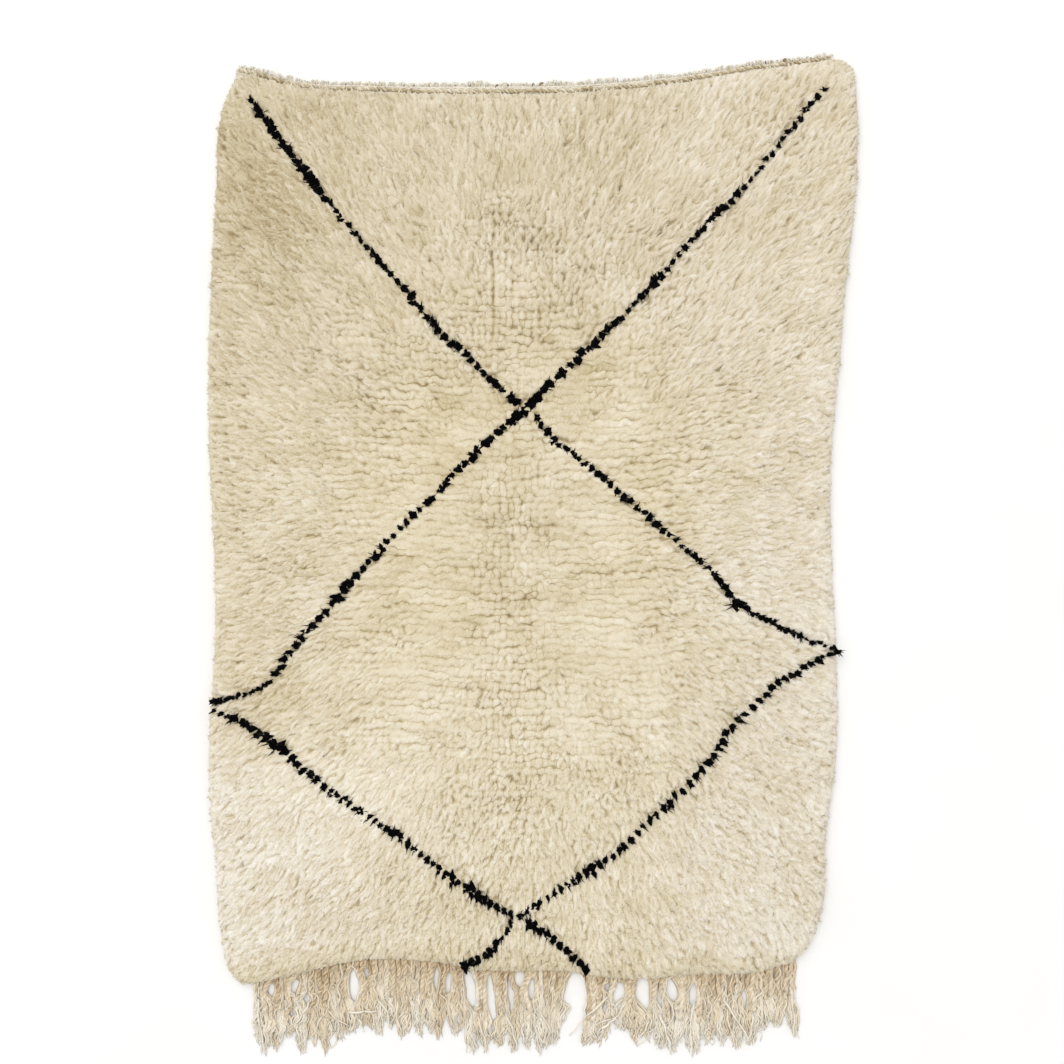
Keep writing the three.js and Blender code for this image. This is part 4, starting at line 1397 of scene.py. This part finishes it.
def yarnPiece(name, x, y, z, length, tone, toneSpread, rng, material, wide, flatness=1.0):
    # single yarns, three-sided, that thin towards their ends
    paths = fringePaths(x, y, z)
    count, steps = x.shape
    thin = np.linspace(1, 0.55, steps - 1)[None]
    widths = wide * fringeSettings["yarnRadius"] * thin * rng.normal(1, 0.14, (count, 1))
    clumps = 0.15 * softNoise(x[:, :1], 0, 0.011, 91)
    tone = np.clip(tone + rng.normal(0, toneSpread, count), 0, 0.999)[:, None] + clumps
    tone = rootTone(tone, length)
    return sweep(name, paths, widths, acrossPath(paths), 3, tone, rng, material, flatness, bounce=5)


def windings(length, cycle, rng):
    # the angle of each yarn's slow winding at each place along it
    shape = (len(length), 1)
    return 2 * math.pi * length / rng.uniform(*cycle, shape) + rng.uniform(0, 6.3, shape)


def makeCords(cords, plied, rng, material):
    s = fringeSettings
    count = s["cords"]
    x, y, length = yarnLine(cords, np.linspace(0, 1, s["plySteps"])[None] * plied)
    middle = fringePaths(x, y, s["cordHeight"] + 0.0003 * np.sin(length / 0.011 + cords["phase0"]))
    ahead = np.gradient(middle, axis=1)
    ahead /= np.linalg.norm(ahead, axis=2, keepdims=True)
    crosswise = acrossPath(middle)
    upright = np.cross(ahead, crosswise)
    turn = 2 * math.pi * length / (s["twist"] * rng.uniform(0.85, 1.2, (count, 1))) + cords["phase1"]
    thick = rng.uniform(0.75, 1.15, (count, 1))
    swing = (s["plyRadius"] * 1.32 * thick)[..., None]
    plies = []
    for part in np.arange(s["plies"]) * 2 * math.pi / s["plies"]:
        aside = swing * np.cos(turn + part)[..., None] * crosswise
        plies.append(middle + aside + 0.75 * swing * np.sin(turn + part)[..., None] * upright)
    plies = np.concatenate(plies)
    tone = np.clip(rng.normal(s["cordTone"], 0.12, count), 0.05, 0.95)
    plyTone = np.tile(tone, s["plies"]) + rng.normal(0, 0.05, s["plies"] * count)
    # alternate plies are paler and darker: painted highlight and shade that make the twist show as diagonal
    # stripes
    plyTone += np.repeat(np.where(np.arange(s["plies"]) % 2, 0.15, -0.15), count)
    plyTone += np.tile(0.15 * softNoise(x[:, 0], 0, 0.011, 91), s["plies"])
    plyTone = rootTone(plyTone[:, None], np.tile(length, (s["plies"], 1)))
    widths = s["plyRadius"] * np.tile(thick, (s["plies"], 1)) * rng.normal(1, 0.06, (s["plies"] * count, 1))
    return sweep("fringe_cords", plies, widths, acrossPath(plies), 3, plyTone, rng, material, bounce=6), tone


def makeOpenYarns(cords, plied, tone, rng, material):
    # past the plied part each cord opens into wavy yarns that meet again at the point of the clump
    s = fringeSettings
    owner = np.repeat(np.arange(s["cords"]), s["openYarns"])
    opened = {key: value[owner] for key, value in cords.items()}
    shape = (len(owner), 1)
    start = plied[owner] - 0.03
    end = np.clip(rng.normal(0.97, 0.05, shape), 0.8, 1.0)
    t = np.linspace(0, 1, s["openSteps"])[None]
    opened["tipX"] = opened["tipX"] + rng.normal(0, 0.0022, shape)
    x, y, length = yarnLine(opened, start + (end - start) * t)
    turn = windings(length, (0.012, 0.030), rng)
    spread = rng.normal(0, 0.0046, shape) * np.sin(math.pi * np.clip(t, 0.02, 1) ** 0.7)
    x = x + spread + rng.uniform(0.0005, 0.0024, shape) * smoothStep(t, 0, 0.3) * np.sin(turn)
    settled = smoothStep(t, 0.1, 0.8)
    z = 0.0037 * (1 - settled) + settled * rng.uniform(0.0026, 0.0050, shape)
    tone = tone[owner] + 0.12
    return yarnPiece("fringe_openingyarns", x, y, z, length, tone, 0.08, rng, material, 1.45, 0.6)


def makeSingleYarns(kind, rng, material):
    count, shape = kind["count"], (kind["count"], 1)
    layout = yarnLayout(count, rng, kind["shortest"], 0.5)
    layout["tipX"] = layout["tipX"] + kind["curl"] * rng.normal(0, 0.012, shape)
    t = np.linspace(0, 1, kind["steps"])[None]
    x, y, length = yarnLine(layout, t, kind["waviness"])
    wind = kind["curl"] * rng.uniform(0.0008, 0.0038, shape) * smoothStep(t, 0.08, 0.3)
    turn = windings(length, (0.016, 0.040), rng)
    x, y = x + wind * np.sin(turn), y + wind * np.cos(turn)
    z = rng.uniform(*kind["height"], shape) * (1 - 0.45 * smoothStep(t, 0.55, 1))
    tone = np.full(count, kind["tone"])
    return yarnPiece(
        kind["name"], x, y, z, length, tone, 0.10, rng, material, kind["wide"], kind["flatness"]
    )


def makeStrays(rng, material):
    # a few thicker yarns have come away from their clumps and lie across
    startX, startY, endX, endY, bow = (column[:, None] for column in np.array(fringeStrays).T / 1000)
    count = len(bow)
    t = np.linspace(0, 1, 22)[None]
    turn = 2 * math.pi * t * rng.uniform(1.2, 2.4, (count, 1)) + rng.uniform(0, 6.3, (count, 1))
    x = startX * (1 - t) + endX * t + bow * np.sin(math.pi * t) + 0.0010 * np.sin(turn)
    past = startY * (1 - t) + endY * t + 0.0008 * np.cos(turn)
    z = fringeSettings["strayHeight"] - 0.0022 * smoothStep(t, 0.7, 1)
    y, tone = -rugLayout["pileLength"] - past, np.full(count, fringeSettings["strayTone"])
    return yarnPiece("fringe_strays", x, y, z, past + 0.05, tone, 0.06, rng, material, 1.25)


def makeFringe(material):
    s = fringeSettings
    rng = np.random.default_rng(s["seed"])
    cords = yarnLayout(s["cords"], rng, 0.9, 0.22)
    plied = rng.uniform(0.38, 0.72, (s["cords"], 1))
    cordPiece, tone = makeCords(cords, plied, rng, material)
    made = [cordPiece, makeOpenYarns(cords, plied, tone, rng, material)]
    made += [makeSingleYarns(kind, rng, material) for kind in singleYarns]
    made.append(makeStrays(rng, material))
    print("fringe made:", s["cords"], "cords and", sum(kind["count"] for kind in singleYarns), "single yarns")
    return made


# The floor, the light and the camera.
studioSettings = {
    "floorHalf": 12,
    "viewedAt": (-0.0019, 0.0368),
    "viewedHeight": 1.617,
    "pileHeight": 0.02,
    "cameraDistance": 2.2,
    "sensor": 36,
    "keySize": 4.0,
    "keyPlace": (-1.4, 2.2, 5.0),
    "keyPower": 105,
    "skyStrength": 0.90,
}


def makeFloor():
    # Matt off-white studio vinyl, rolled flat: even, with a faint mottle a third of a metre across.
    material, tree = startMaterial("matt_white_studio_floor")
    where = addNode(tree, "ShaderNodeTexCoord", out="Object")
    mottle = addNode(tree, "ShaderNodeTexNoise", {"Scale": 3.0, "Detail": 2.0}, {"Vector": where})
    floorStops = [(0.3, "#f3f2f0"), (0.7, "#f7f6f5")]
    colour = addNode(tree, "ShaderNodeValToRGB", {"stops": floorStops}, {"Fac": mottle})
    endMaterial(tree, {"Roughness": 0.85, "Specular IOR Level": 0.2}, {"Base Color": colour})
    mesh = bpy.data.meshes.new("floor")
    half = studioSettings["floorHalf"]
    corners = [(-half, -half, 0), (half, -half, 0), (half, half, 0), (-half, half, 0)]
    mesh.from_pydata(corners, [], [(0, 1, 2, 3)])
    mesh.materials.append(material)
    floor = bpy.data.objects.new("floor", mesh)
    bpy.context.scene.collection.objects.link(floor)
    return floor


def makeLight():
    s = studioSettings
    world = bpy.data.worlds.new("white_room")
    world.use_nodes = True
    sky = world.node_tree.nodes["Background"]
    sky.inputs["Color"].default_value = linearColour("#ffffff")
    sky.inputs["Strength"].default_value = s["skyStrength"]
    bpy.context.scene.world = world
    key = bpy.data.lights.new("soft_key", "AREA")
    key.size = s["keySize"]
    key.energy = s["keyPower"]
    lamp = bpy.data.objects.new("soft_key", key)
    lamp.location = s["keyPlace"]
    lamp.rotation_euler = (-Vector(s["keyPlace"])).to_track_quat("-Z", "Y").to_euler()
    bpy.context.scene.collection.objects.link(lamp)


def makeCamera():
    s = studioSettings
    data = bpy.data.cameras.new("camera")
    data.sensor_width = s["sensor"]
    data.lens = s["sensor"] * s["cameraDistance"] / s["viewedHeight"]
    camera = bpy.data.objects.new("camera", data)
    camera.location = (*s["viewedAt"], s["pileHeight"] + s["cameraDistance"])
    bpy.context.scene.collection.objects.link(camera)
    bpy.context.scene.camera = camera


materials = makeMaterials()
pile = makePile(materials)
ground = makeGround(materials["ground"])
heading = makeHeading(materials["headingYarn"])
fringe = makeFringe(materials["warpYarn"])
for piece in [*pile, ground, *heading]:
    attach(piece, "root")
    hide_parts("rug_body")
for piece in fringe:
    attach(piece, "root")
    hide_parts("fringe")
floor = makeFloor()
makeLight()
makeCamera()
bpy.context.scene.view_settings.view_transform = "Standard"
print("scene made:", len([*pile, ground, *heading, *fringe]), "pieces")
